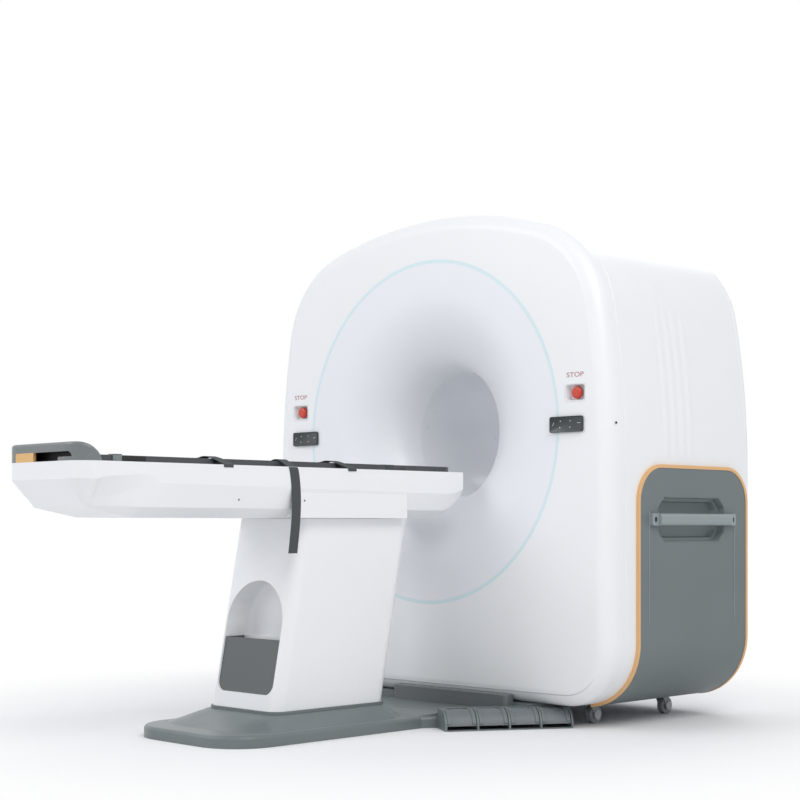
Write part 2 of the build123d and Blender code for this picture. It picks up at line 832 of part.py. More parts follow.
def caster_fork(x, y):
    """One caster's hooded fork with its swivel stem and the axle riveted through it."""
    half = wheel_wide / 2 + fork_side_gap
    out = half + fork_wall
    crown_low = 2 * wheel_radius + fork_side_gap
    crown_high = gantry_bottom - run_gap
    stem_top = gantry_bottom + floor_plate + stem_long
    wheel_y = caster_trail
    ear_low = wheel_radius - fork_ear
    profile = Polyline([(-out, -fork_front, crown_high), (-out, fork_rear, crown_high),
                        (-out, wheel_y + fork_rear, wheel_radius + fork_ear_high),
                        (-out, wheel_y + fork_ear_high, ear_low), (-out, wheel_y - fork_ear_high, ear_low),
                        (-out, -fork_front, crown_high - fork_lip)], close=True)
    body = extrude(face_of(profile.edges()), amount=2 * out, dir=(1, 0, 0))
    body -= box(-half, half, -2 * crown_low, 2 * crown_low, 0, crown_low)
    body += Pos(0, 0, (crown_high + stem_top) / 2) * Cylinder(stem_radius, stem_top - crown_high)
    cap = out + rivet_head
    axle = Pos(0, wheel_y, wheel_radius) * Rot(0, 90, 0) * Cylinder(axle_radius, 2 * cap)
    return Pos(x, y, 0) * (body + axle)


def caster_wheel(x, y):
    """One caster's wheel, with a bore for the axle and a dished side."""
    wheel = Cylinder(wheel_radius, wheel_wide)
    wheel = fillet(wheel.edges(), wheel_round)
    dish = Cylinder(wheel_radius - wheel_rim, 2 * wheel_dish)
    wheel = wheel - Pos(0, 0, wheel_wide / 2) * dish - Pos(0, 0, -wheel_wide / 2) * dish
    wheel += Cylinder(axle_radius + wheel_hub, wheel_wide)
    wheel -= Cylinder(axle_radius + run_gap, wheel_wide + 2)
    return Pos(x, y + caster_trail, wheel_radius) * Rot(0, 90, 0) * wheel


def rounded_rectangle(x0, x1, y0, y1, z, corner):
    """A flat rectangle with round corners at height z."""
    sketch = RectangleRounded(x1 - x0, y1 - y0, corner)
    return (Pos((x0 + x1) / 2, (y0 + y1) / 2, z) * sketch).face()


def base_plate():
    """The low moulded base: a flat nose, a raised collar for the column and a wide rear end."""
    w = base_half_width
    nose = base_nose_y + base_nose_radius
    tip = w - base_nose_radius
    half = base_nose_radius * math.sqrt(0.5)

    def at(x, y):
        return (x, y, 0)

    right = [
        Line(at(tip, base_nose_y), at(0, base_nose_y)),
        ThreePointArc(at(w, nose), at(tip + half, nose - half), at(tip, base_nose_y)),
        Line(at(w, flare_start_y), at(w, nose)),
        Line(at(cross_half_width, flare_end_y), at(w, flare_start_y)),
        Line(at(cross_half_width, cross_rear_y), at(cross_half_width, flare_end_y)),
        Line(at(0, cross_rear_y), at(cross_half_width, cross_rear_y)),
    ]
    outline = face_of(right + [mirror_x(edge) for edge in right])
    base = extrude(outline, amount=base_edge, dir=(0, 0, 1))
    base = fillet(edges_at_z(base, base_edge), base_round)
    edge = w - base_shoulder
    low = rounded_rectangle(-edge, edge, column_front_y - collar_skirt_front, column_rear_y + collar_skirt,
                            base_edge - 1, base_nose_radius - base_shoulder)
    base += loft([low, collar_plan(collar_margin, collar_top - collar_step)], ruled=True)
    collar = collar_plan(collar_margin / 2, collar_top - collar_step - 1)
    base += extrude(collar, amount=collar_step + 1, dir=(0, 0, 1))
    rear_edge = cross_half_width - base_shoulder
    slope = [(-edge, flare_start_y, 0), (edge, flare_start_y, 0),
             (rear_edge, flare_end_y, 0), (rear_edge, cross_rear_y, 0),
             (-rear_edge, cross_rear_y, 0), (-rear_edge, flare_end_y, 0)]
    flat = extrude(face_of(Polyline(slope, close=True).edges()), amount=base_flat, dir=(0, 0, 1))
    x = -cross_half_width
    wedge = Polyline([(x, flare_start_y - 1, base_edge), (x, flare_start_y + base_rise, base_flat),
                      (x, cross_rear_y, base_flat), (x, cross_rear_y, 0),
                      (x, flare_start_y - 1, 0)], close=True)
    base += flat & extrude(face_of(wedge.edges()), amount=2 * cross_half_width, dir=(1, 0, 0))
    block = extrude(outline, amount=gantry_bottom, dir=(0, 0, 1))
    base += block & box(-cross_half_width, cross_half_width, cross_front_y, cross_rear_y, 0, gantry_bottom)
    return base


def collar_plan(margin, z):
    """The column's plan at height z, wider by a margin all round."""
    return rounded_rectangle(-column_half_width - margin, column_half_width + margin,
                             column_front_y - margin, column_rear_y + margin, z, column_round + margin)


def dock_block():
    """The dark block that ties the base to the gantry's lower edge."""
    block = box(dock_left, dock_right, dock_front_y, cross_front_y, base_flat, dock_top)
    upright = [e for e in block.edges().filter_by(Axis.Z) if e.center().Y < dock_front_y + 1]
    block = fillet(upright, dock_round)
    return chamfer([e for e in edges_at_z(block, dock_top) if e.center().Y < cross_front_y - 1],
                   dock_chamfer)


def edges_at_z(shape, z):
    """The edges that lie wholly at height z."""
    return [e for e in shape.edges() if abs(e.bounding_box().min.Z - z) < 0.01
            and abs(e.bounding_box().max.Z - z) < 0.01]


def pedal_frame():
    """The pedal block's own frame: X along the slanted edge of the base, Y inwards, Z up."""
    return Pos(base_half_width, flare_start_y, 0) * Rot(0, 0, flare_angle)


def pedal_skin(inset):
    """The rounded profile over the pedals, as points out from the base's edge, inset inwards."""
    out = pedal_block_deep - inset
    top = pedal_block_high - inset
    bulge = (out - (out - shoulder_out) * bulge_out, pedal_floor + (top - pedal_floor) * bulge_up)
    return top, bulge, out


def pedal_housing():
    """The block beside the base: a floor, a back rail with the pedals' hinge seat, and five fins."""
    top, bulge, out = pedal_skin(0)
    start = pedal_block_start

    def at(reach, z, s=start):
        return (s, -reach, z)

    edges = [
        Line(at(0, 0), at(0, top)),
        Line(at(0, top), at(shoulder_out, top)),
        ThreePointArc(at(shoulder_out, top), at(bulge[0], bulge[1]), at(out, pedal_floor)),
        Line(at(out, pedal_floor), at(out, 0)),
        Line(at(out, 0), at(0, 0)),
    ]
    fin = extrude(face_of(edges), amount=fin_thick, dir=(1, 0, 0))
    end = start + pedal_block_long
    body = box(start, end, -out, 0, 0, pedal_floor)
    body += box(start, end, -knuckle_out, 0, 0, pedal_block_high)
    seat = Pos(start + pedal_block_long / 2, -knuckle_out, knuckle_z) * Rot(0, 90, 0) * Cylinder(
        knuckle_radius + run_gap, pedal_block_long)
    body -= seat
    for number in range(pedal_count + 1):
        body += Pos(number * pedal_pitch, 0, 0) * fin
    return pedal_frame() * body


def pedal(number):
    """One pedal: a curved plate with a round knuckle along its inner edge."""
    top, bulge, out = pedal_skin(pedal_drop)
    in_top, in_bulge, in_out = pedal_skin(pedal_drop + pedal_wall)
    back = knuckle_out + pedal_inner
    s0 = pedal_block_start + number * pedal_pitch + fin_thick + slide_gap
    wide = pedal_pitch - fin_thick - 2 * slide_gap

    def at(reach, z):
        return (s0, -reach, z)

    edges = [
        Line(at(back, in_top), at(back, top)),
        Line(at(back, top), at(shoulder_out, top)),
        ThreePointArc(at(shoulder_out, top), at(bulge[0], bulge[1]), at(out - pedal_inner, pedal_tip_z)),
        Line(at(out - pedal_inner, pedal_tip_z), at(in_out - pedal_inner, pedal_tip_z)),
        ThreePointArc(at(in_out - pedal_inner, pedal_tip_z), at(in_bulge[0], in_bulge[1]),
                      at(shoulder_out, in_top)),
        Line(at(shoulder_out, in_top), at(back, in_top)),
    ]
    plate = extrude(face_of(edges), amount=wide, dir=(1, 0, 0))
    knuckle = Pos(s0 + wide / 2, -knuckle_out, knuckle_z) * Rot(0, 90, 0) * Cylinder(knuckle_radius, wide)
    return pedal_frame() * (plate + knuckle)


def lean_prism(x0, x1, y0, y1, corner):
    """A column block that leans towards the gantry, from the collar to the column's top."""
    foot = rounded_rectangle(x0, x1, y0, y1, collar_top, corner)
    rise = column_top - collar_top
    path = Vector(0, column_lean, rise)
    return extrude(foot, amount=path.length, dir=path)


def niche_prism(grow, depth):
    """The arched niche: upright sides, a round top and small lower corners, cut along the lean."""
    half = niche_half_width + grow
    low = niche_low - grow
    high = niche_high + grow
    corner = niche_corner + grow
    y = column_front_y - column_lean
    spring = high - half
    bend = corner * (1 - math.sqrt(0.5))

    def at(x, z):
        return (x, y, z)

    edges = [
        Line(at(-half + corner, low), at(half - corner, low)),
        ThreePointArc(at(half - corner, low), at(half - bend, low + bend), at(half, low + corner)),
        Line(at(half, low + corner), at(half, spring)),
        ThreePointArc(at(half, spring), at(0, high), at(-half, spring)),
        Line(at(-half, spring), at(-half, low + corner)),
        ThreePointArc(at(-half, low + corner), at(-half + bend, low + bend), at(-half + corner, low)),
    ]
    arch = extrude(face_of(edges), amount=2 * column_long, dir=(0, 1, 0))
    w = column_half_width
    return arch & lean_prism(-w, w, y, column_front_y + depth, 1)


def column_cover():
    """The leaning white cover with the niche moulded into its front."""
    y0 = column_front_y
    y1 = column_rear_y
    w = column_half_width
    outer = lean_prism(-w, w, y0, y1, column_round)
    t = column_wall
    inner = lean_prism(-w + t, w - t, y0 + t, y1 - t, column_round - t)
    shell = outer - inner
    shell += outer & box(-w, w, y0, y1 + column_lean, column_top - t, column_top)
    shell += niche_prism(niche_wall, niche_depth + niche_wall) & outer
    side = lift_outer_side / 2
    shell -= box(-side, side, lift_y - side, lift_y + side, column_top - t - 1, column_top + 1)
    return shell - niche_prism(0, niche_depth)


def niche_pocket():
    """The dark open bin that fills the lower part of the niche."""
    w = column_half_width
    front_y = column_front_y + pocket_set_back
    room = niche_prism(0, niche_depth) & lean_prism(-w, w, front_y, column_rear_y, 1)
    bin_block = room & box(-w, w, column_front_y, column_rear_y, 0, pocket_top)
    inside = lean_prism(-w, w, front_y + pocket_wall, column_rear_y, 1)
    return bin_block - (niche_prism(-pocket_wall, niche_depth - pocket_wall) & inside)


def lift_outer_tube():
    """The fixed square tube of the lift, standing on the base."""
    s = lift_outer_side / 2
    inner = s - lift_tube_wall
    high = column_top - lift_below_top
    tube = box(-s, s, lift_y - s, lift_y + s, collar_top, high)
    return tube - box(-inner, inner, lift_y - inner, lift_y + inner, collar_top + lift_foot, high + 1)


def lift_inner_tube():
    """The tube that rises out of the first one and carries the table on its top plate."""
    s = lift_outer_side / 2 - lift_tube_wall - run_gap
    inner = s - lift_tube_wall
    tube = box(-s, s, lift_y - s, lift_y + s, lift_low_end, table_floor)
    tube -= box(-inner, inner, lift_y - inner, lift_y + inner, lift_low_end - 1, table_floor - lift_plate)
    return tube


def bow_points(back):
    """Four points of the bow's underside, from the wall inwards, at a distance back from the foot.

    The bow slopes under from the round plan of the foot end, so its corners are parts of a cone. Each
    point is given as half width and height above the hull's floor. The outer ones lie a little
    outside the wall, which is cut to its round plan afterwards.
    """
    ahead = table_corner - back
    half_chord = math.sqrt(table_corner ** 2 - ahead ** 2)
    points = []
    for share, spread in ((1, 12), (0.75, 5), (0.35, 2), (0, 0)):
        across = share * half_chord + spread
        drop = bow_slope * (table_corner - math.hypot(ahead, across))
        points.append((table_half_width - table_corner + across, foot_lip - drop))
    return points


def table_stations(wall):
    """Cross-sections of the table's hull from foot to head, each wall thinner all round.

    Each has a y and four points down the side: the crease in the upright side, its lower edge, and two
    lower corners. Behind the bow the lower edge climbs until the side is upright all the way down.
    """
    full = table_half_width
    rows = [(table_foot_y + share * bow_reach, bow_points(share * bow_reach))
            for share in (0, 0.13, 0.35, 0.7, 1)]
    rows += [
        (table_foot_y + table_corner + 5, [(full, 113), (full - 46, 50), (full - 60, 33), (full - 70, 26)]),
        (table_foot_y + 219, [(full, 124), (full - 12, 82), (full - 26, 30), (full - 60, 0)]),
        (table_foot_y + 287, [(full, 112), (full, 99), (full - 20, 29), (full - 60, 0)]),
        (table_head_y - 74 - wall / 2, [(full, 100), (full, 83), (full - 20, 27), (full - 60, 0)]),
        (table_head_y - 40 - wall / 2, [(full, 104), (full, 87), (full - 18, 43), (full - 50, 23)]),
        (table_head_y - wall, [(full, 118), (full, 101), (full - 14, 77), (full - 36, 64)]),
    ]
    rows[0] = (table_foot_y + wall, rows[0][1])
    rim = table_rim + (hood_rise if wall else 0)
    slant = wall * slant_share
    stations = []
    for y, (crease, lip, middle, low) in rows:
        side = [(crease[0] - wall, rim), (crease[0] - wall, table_floor + crease[1]),
                (lip[0] - wall, table_floor + lip[1] + slant),
                (middle[0] - wall, table_floor + middle[1] + slant),
                (low[0] - slant, table_floor + low[1] + wall)]
        stations.append((y, side))
    return stations


def table_plan(inset):
    """The table's plan as a tall block, with round corners at the foot end."""
    x = table_half_width - inset
    y = table_foot_y + inset
    block = box(-x, x, y, table_head_y, table_floor, table_rim + hull_deep)
    corners = [e for e in block.edges().filter_by(Axis.Z) if e.center().Y < y + 1]
    return fillet(corners, table_corner - inset)


def table_hull(wall):
    """The hull's block, made by joining its cross-sections with flat facets."""
    sections = []
    for y, side in table_stations(wall):
        points = [(x, y, z) for x, z in side] + [(-x, y, z) for x, z in reversed(side)]
        sections.append(face_of(Polyline(points, close=True).edges()))
    return loft(sections, ruled=True) & table_plan(wall)


def table_housing():
    """The white hull of the table, with the square shoe over the column and a low head wall."""
    w = table_half_width
    shoe = box(-w, w, shoe_front_y, shoe_rear_y, table_floor, shoe_top)
    t = table_wall
    shoe_inside = box(-w + t, w - t, shoe_front_y + t, shoe_rear_y - t, table_floor + t, shoe_top + t)
    mouth = board_half_width + board_gap
    passage = box(-mouth, mouth, table_head_y - 2 * t, table_head_y + 1, deck_top, table_rim + 1)
    return (table_hull(0) + shoe) - (table_hull(t) + shoe_inside) - passage


def table_deck():
    """The flat deck inside the hull's rim, with two low ribs that guide the board."""
    t = table_wall
    w = table_half_width
    plate = table_hull(t) & box(-w, w, deck_foot_y, table_head_y - t, deck_top - deck_thick, deck_top)
    for side in (-1, 1):
        x = side * (runner_x + runner_wide / 2 + run_gap + runner_guide / 2)
        plate += box(x - runner_guide / 2, x + runner_guide / 2, hood_head_y, table_head_y - guide_short,
                     deck_top, deck_top + guide_high)
    return plate


def board_section(y, grow):
    """The board's section across: upright edges and a shallow dip on top."""
    half = board_half_width + grow
    low = board_under - grow
    high = board_top + grow

    def at(x, z):
        return (x, y, z)

    return face_of([
        Line(at(-half, low), at(half, low)),
        Line(at(half, low), at(half, high)),
        ThreePointArc(at(half, high), at(0, high - board_dip), at(-half, high)),
        Line(at(-half, high), at(-half, low)),
    ])


def cradle_board():
    """The dark board that slides into the bore, on two runners."""
    long = table_head_y - board_tail_y
    board = extrude(board_section(board_tail_y, 0), amount=long, dir=(0, 1, 0))
    plan = extrude(rounded_rectangle(-board_half_width, board_half_width, board_tail_y - board_corner,
                                     table_head_y, 0, board_corner), amount=gantry_height, dir=(0, 0, 1))
    board = board & plan
    for side in (-1, 1):
        x = side * runner_x
        board += box(x - runner_wide / 2, x + runner_wide / 2, hood_head_y, table_head_y - guide_short,
                     deck_top + run_gap, board_under)
    return board


def strap_loops():
    """Three flat straps laid across the board and tucked under its edges."""
    loops = []
    open_half = board_half_width - strap_tuck
    for y in strap_places:
        band = extrude(board_section(y - strap_wide / 2, strap_thick), amount=strap_wide, dir=(0, 1, 0))
        band -= extrude(board_section(y - strap_wide / 2, 0), amount=strap_wide, dir=(0, 1, 0))
        band -= box(-open_half, open_half, y - strap_wide, y + strap_wide, deck_top, board_under + 1)
        loops.append(band)
    return Compound(children=[solid for band in loops for solid in band.solids()])


def hanging_strap():
    """The loose strap end that hangs over the table's side."""
    y0 = hang_y - strap_wide / 2
    t = strap_thick
    edge = board_half_width
    side = table_half_width + run_gap + hang_gap
    top = board_top + run_gap
    low = table_rim - hang_long
    points = [(edge - hang_lap, top), (edge + 2 * t, top), (side, table_rim + 2 * t), (side, low),
              (side + t, low), (side + t, table_rim + 3 * t), (edge + 3 * t, top + t),
              (edge - hang_lap, top + t)]
    profile = Polyline([(x, y0, z) for x, z in points], close=True)
    return extrude(face_of(profile.edges()), amount=strap_wide, dir=(0, 1, 0))


def hood_profile(inset):
    """The foot-end hood seen from the side, as a block across the table."""
    t = inset
    x = -table_half_width
    top = hood_top - t

    def at(y, z):
        return (x, y, z)

    def brow(behind, below):
        return at(hood_head_y - behind - t * slant_share, top - below)

    foot_low = at(table_foot_y, table_rim - t)
    foot_high = at(table_foot_y, top)
    crest = at(hood_head_y - hood_crest - t, top)
    head_low = at(hood_head_y - t, table_rim - t)
    edges = [
        Line(foot_low, foot_high),
        Line(foot_high, crest),
        Spline(crest, brow(*hood_brow[0]), brow(*hood_brow[1]), head_low,
               tangents=[(0, 1, 0), (0, 0.4, -1)]),
        Line(head_low, foot_low),
    ]
    return extrude(face_of(edges), amount=-2 * x, dir=(1, 0, 0))


def end_hood():
    """The grey cap over the table's foot end, with a hand slot in its end face."""
    shell = hood_profile(0) & table_plan(0)
    crest = [e for e in shell.edges() if e.center().Z > table_rim + 1]
    upright = [e for e in shell.edges().filter_by(Axis.Z)]
    shell = fillet([e for e in crest if e not in upright], hood_edge_round)
    shell -= hood_profile(hood_wall_thick) & table_plan(hood_wall_thick)
    mouth = board_half_width + board_gap
    shell -= box(-mouth, mouth, board_tail_y - board_gap, hood_head_y + 1, deck_top,
                 board_top + board_gap)
    return shell - hand_slot(slot_right)


def hand_slot(right):
    """The room of the hand slot from its left end to the one given, with the lip at the far end."""
    room = box(slot_left, right, table_foot_y - 1, table_foot_y + slot_deep, table_rim - 1,
               table_rim + slot_tall)
    room = fillet([e for e in room.edges().filter_by(Axis.Y)
                   if e.center().X > right - 1 and e.center().Z > table_rim], slot_corner)
    tongue = box(tongue_left, slot_right + 1, table_foot_y - 2, table_foot_y + slot_deep + 1, table_rim - 2,
                 table_rim + tongue_tall)
    tongue = fillet([e for e in tongue.edges().filter_by(Axis.Y)
                     if e.center().X < tongue_left + 1 and e.center().Z > table_rim], tongue_corner)
    return room - tongue


def slot_liner():
    """The black pocket behind the hand slot, standing just inside the end wall."""
    front = table_foot_y + table_wall + run_gap
    back = table_foot_y + slot_deep
    high = table_rim + slot_tall
    t = slot_wall
    right = slot_right + t
    pocket = box(slot_left - t, right, front, back + t, table_rim - t, high + t)
    inside = box(slot_left, slot_right, front - 1, back, table_rim, high)
    return (pocket - inside) & table_plan(table_wall + run_gap)


def hood_accent():
    """The coloured block that fills the left end of the hand slot."""
    high = table_rim + slot_tall
    block = box(slot_left, accent_right, table_foot_y, table_foot_y + accent_deep, table_rim, high)
    return block & table_plan(0)


def both_sides(piece):
    """A piece and its twin on the left, as one node."""
    return Compound(children=[piece.solid(), mirror_x(piece).solid()])


nodes = {
    "front_cover": front_cover(),
    "front_funnel": front_funnel(),
    "ring_light": ring_light(),
    "bore_liner": bore_liner(),
    "rear_funnel": rear_funnel(),
    "rear_cover": rear_cover(),
    "hood_shell": hood_shell(),
    "side_panel_right": side_panel(),
    "side_panel_left": mirror_x(side_panel()),
    "panel_trim_right": panel_trim(),
    "panel_trim_left": mirror_x(panel_trim()),
    "grab_bar_right": grab_bar(),
    "grab_bar_left": mirror_x(grab_bar()),
    "power_inlet": power_inlet(),
    "chassis": chassis(),
    "stator_frame": stator_frame(),
    "bearing_outer": bearing_outer(),
    "brush_block": brush_block(),
    "rotor_drum": rotor_drum(),
    "slip_ring": slip_ring(),
    "xray_tube": xray_tube(),
    "collimator": collimator(),
    "detector_arc": detector_arc(),
    "hv_tanks": hv_tanks(),
    "drive_pulley": drive_pulley(),
    "drive_belt": drive_belt(),
    "drive_motor": drive_motor(),
    "control_panel_right": control_panel(),
    "control_panel_left": mirror_x(control_panel()),
    "stop_bezel_right": stop_bezel(),
    "stop_bezel_left": mirror_x(stop_bezel()),
    "stop_button_right": stop_button(),
    "stop_button_left": mirror_x(stop_button()),
    "base_plate": base_plate(),
    "dock_block": dock_block(),
    "pedal_housing": pedal_housing(),
    "column_cover": column_cover(),
    "niche_pocket": niche_pocket(),
    "lift_outer_tube": lift_outer_tube(),
    "lift_inner_tube": lift_inner_tube(),
    "table_housing": table_housing(),
    "table_deck": table_deck(),
    "end_hood": end_hood(),
    "slot_liner": slot_liner(),
    "hood_accent": hood_accent(),
    "cradle_board": cradle_board(),
    "strap_loops": strap_loops(),
    "hanging_strap": hanging_strap(),
}
for number in range(pedal_count):
    nodes[f"pedal_{number + 1}"] = pedal(number)
for number, (caster_at_x, caster_at_y) in enumerate(caster_places(), start=1):
    nodes[f"caster_fork_{number}"] = caster_fork(caster_at_x, caster_at_y)
    nodes[f"caster_wheel_{number}"] = caster_wheel(caster_at_x, caster_at_y)

for name, shape in nodes.items():
    export_step(shape, f"parts/{name}.step")
    print(name, len(shape.solids()), round(shape.volume / 1000), "cm3")
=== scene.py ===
# %% [markdown]
# # A small veterinary CT scanner
# This notebook dresses a finished engineering model. Every solid piece arrives from the frame at its
# real size, in metres, and stays where it is. The cells below add the camera and the light, give each
# material a finish, and model the small pieces that the engineering model leaves out.

# %% Load the frame
import json
import math

import bmesh
import bpy
from mathutils import Matrix, Vector
from mathutils.bvhtree import BVHTree


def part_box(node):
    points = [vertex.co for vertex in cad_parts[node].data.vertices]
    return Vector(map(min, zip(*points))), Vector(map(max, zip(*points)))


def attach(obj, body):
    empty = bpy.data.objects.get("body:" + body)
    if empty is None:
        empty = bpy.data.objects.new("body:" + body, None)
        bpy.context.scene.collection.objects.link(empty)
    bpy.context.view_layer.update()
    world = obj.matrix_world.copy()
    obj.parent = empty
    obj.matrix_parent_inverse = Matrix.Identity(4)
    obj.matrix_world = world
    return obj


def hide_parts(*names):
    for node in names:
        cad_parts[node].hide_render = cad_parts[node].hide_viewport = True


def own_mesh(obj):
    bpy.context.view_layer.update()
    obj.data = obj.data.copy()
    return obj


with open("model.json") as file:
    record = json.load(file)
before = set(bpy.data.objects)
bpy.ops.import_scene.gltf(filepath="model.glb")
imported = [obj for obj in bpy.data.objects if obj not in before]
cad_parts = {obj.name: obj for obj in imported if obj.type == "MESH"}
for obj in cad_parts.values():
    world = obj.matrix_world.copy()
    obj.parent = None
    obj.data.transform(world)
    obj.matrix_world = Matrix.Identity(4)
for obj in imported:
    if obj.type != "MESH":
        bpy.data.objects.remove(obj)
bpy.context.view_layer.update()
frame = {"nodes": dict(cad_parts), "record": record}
nodes = frame["nodes"]

# %% [markdown]
# ## Camera
# The photograph was taken from the height of a low tripod. A level camera keeps upright edges upright,
# and its horizon lies in the middle of the picture. Here it lies lower, so the picture is framed with a
# vertical shift instead of a tilt, as an architect's lens does.

# %% Camera
CAMERA_PLACE = (3.986, -4.076, 0.6675)
CAMERA_TURN = 45.3          # degrees, from looking along the table
CAMERA_LENS = 72.68         # millimetres
HORIZON_SHIFT = 0.156       # share of the picture's width

camera_data = bpy.data.cameras.new("camera")
camera_data.lens = CAMERA_LENS
camera_data.shift_y = HORIZON_SHIFT
camera = bpy.data.objects.new("camera", camera_data)
camera.location = CAMERA_PLACE
camera.rotation_euler = (math.radians(90), 0, math.radians(CAMERA_TURN))
bpy.context.collection.objects.link(camera)
bpy.context.scene.camera = camera
bpy.context.scene.view_settings.view_transform = "Standard"
print("camera", CAMERA_LENS, "mm, turned", CAMERA_TURN, "degrees")

# %% [markdown]
# ## Light and floor
# White plastic on a white ground needs soft light with a direction, or the shapes vanish. The world
# gives an even fill, and three large lamps stand high on the right, on the left and behind. The
# background is white for the camera and for reflections only, so it adds no light to the object.


# %% A helper for shader nodes
def set_inputs(node, **values):
    """Set a node's inputs by name. An underscore stands for a space."""
    for socket, value in values.items():
        node.inputs[socket.replace("_", " ")].default_value = value
    return node


# %% World
FILL = 0.60
FILL_TINT = (0.93, 0.95, 1.0, 1)

world = bpy.data.worlds.new("studio")
bpy.context.scene.world = world
world.use_nodes = True
sky = world.node_tree
sky.nodes.clear()
ray_kind = sky.nodes.new("ShaderNodeLightPath")
seen = sky.nodes.new("ShaderNodeMath")
mirrored = sky.nodes.new("ShaderNodeMath")
seen.operation = mirrored.operation = "MAXIMUM"
fill = set_inputs(sky.nodes.new("ShaderNodeBackground"), Color=FILL_TINT, Strength=FILL)
backdrop = set_inputs(sky.nodes.new("ShaderNodeBackground"), Color=(1, 1, 1, 1))
mix = sky.nodes.new("ShaderNodeMixShader")
out = sky.nodes.new("ShaderNodeOutputWorld")
sky.links.new(ray_kind.outputs["Is Camera Ray"], seen.inputs[0])
sky.links.new(ray_kind.outputs["Is Glossy Ray"], seen.inputs[1])
sky.links.new(seen.outputs[0], mirrored.inputs[0])
sky.links.new(ray_kind.outputs["Is Transmission Ray"], mirrored.inputs[1])
sky.links.new(mirrored.outputs[0], mix.inputs["Fac"])
sky.links.new(fill.outputs[0], mix.inputs[1])
sky.links.new(backdrop.outputs[0], mix.inputs[2])
sky.links.new(mix.outputs[0], out.inputs["Surface"])
print("world fill", FILL)


# %% Lamps
def soft_lamp(name, place, target, size, power, tint):
    """A large square lamp that looks at a target."""
    data = bpy.data.lights.new(name, "AREA")
    data.shape = "SQUARE"
    data.size = size
    data.energy = power
    data.color = tint
    lamp = bpy.data.objects.new(name, data)
    lamp.location = place
    lamp.rotation_euler = (Vector(target) - Vector(place)).to_track_quat("-Z", "Y").to_euler()
    bpy.context.collection.objects.link(lamp)
    print("lamp", name, power, "watts")


MIDDLE = (0, -0.2, 0.9)
soft_lamp("key", (4.2, -2.0, 4.6), MIDDLE, 3.2, 122, (1.0, 0.99, 0.97))
soft_lamp("front", (-2.6, -4.8, 3.8), MIDDLE, 3.0, 84, (0.97, 0.98, 1.0))
soft_lamp("back", (-1.5, 4.5, 4.2), MIDDLE, 3.0, 70, (1, 1, 1))

# %% Floor
FLOOR_HALF = 30
PAPER_TONE = (0.93, 0.93, 0.93, 1)
FADE_FROM, FADE_TO = 0.9, 2.3       # metres from the middle, where the camera sees it turn plain white

bpy.ops.mesh.primitive_plane_add(size=2 * FLOOR_HALF, location=(0, 0, 0))
floor = bpy.context.active_object
floor.name = "floor"
floor_paint = bpy.data.materials.new("floor_paper")
floor_paint.use_nodes = True
tree = floor_paint.node_tree
tree.nodes.clear()
place = tree.nodes.new("ShaderNodeTexCoord")
reach = tree.nodes.new("ShaderNodeVectorMath")
reach.operation = "LENGTH"
fade = set_inputs(tree.nodes.new("ShaderNodeMapRange"), From_Min=FADE_FROM, From_Max=FADE_TO)
fade.interpolation_type = "SMOOTHSTEP"
paper = set_inputs(tree.nodes.new("ShaderNodeBsdfDiffuse"), Color=PAPER_TONE)
glow = set_inputs(tree.nodes.new("ShaderNodeEmission"), Strength=1)
camera_ray = tree.nodes.new("ShaderNodeLightPath")
gate = tree.nodes.new("ShaderNodeMath")
gate.operation = "MULTIPLY"
blend = tree.nodes.new("ShaderNodeMixShader")
surface = tree.nodes.new("ShaderNodeOutputMaterial")
tree.links.new(place.outputs["Object"], reach.inputs[0])
tree.links.new(reach.outputs["Value"], fade.inputs["Value"])
tree.links.new(fade.outputs["Result"], gate.inputs[0])
tree.links.new(camera_ray.outputs["Is Camera Ray"], gate.inputs[1])
tree.links.new(gate.outputs[0], blend.inputs["Fac"])
tree.links.new(paper.outputs[0], blend.inputs[1])
tree.links.new(glow.outputs[0], blend.inputs[2])
tree.links.new(blend.outputs[0], surface.inputs["Surface"])
floor.data.materials.append(floor_paint)
print("floor", 2 * FLOOR_HALF, "metres wide")

# %% [markdown]
# ## Finishes
# Each finish is one small node tree on object coordinates, so that a pattern keeps its real size on
# every piece and never slides. A cloudy noise shifts the colour a little, a second one varies the
# gloss, and a fine one raises the grain. Steady values stay on the shader's own sockets.

# %% A helper for finishes
CLOUD_SCALE = 3.5
SMEAR_SCALE = 14
CLOUD_BAND = (0.3, 0.7)
PORE_STRENGTH = 0.6
finishes = {}


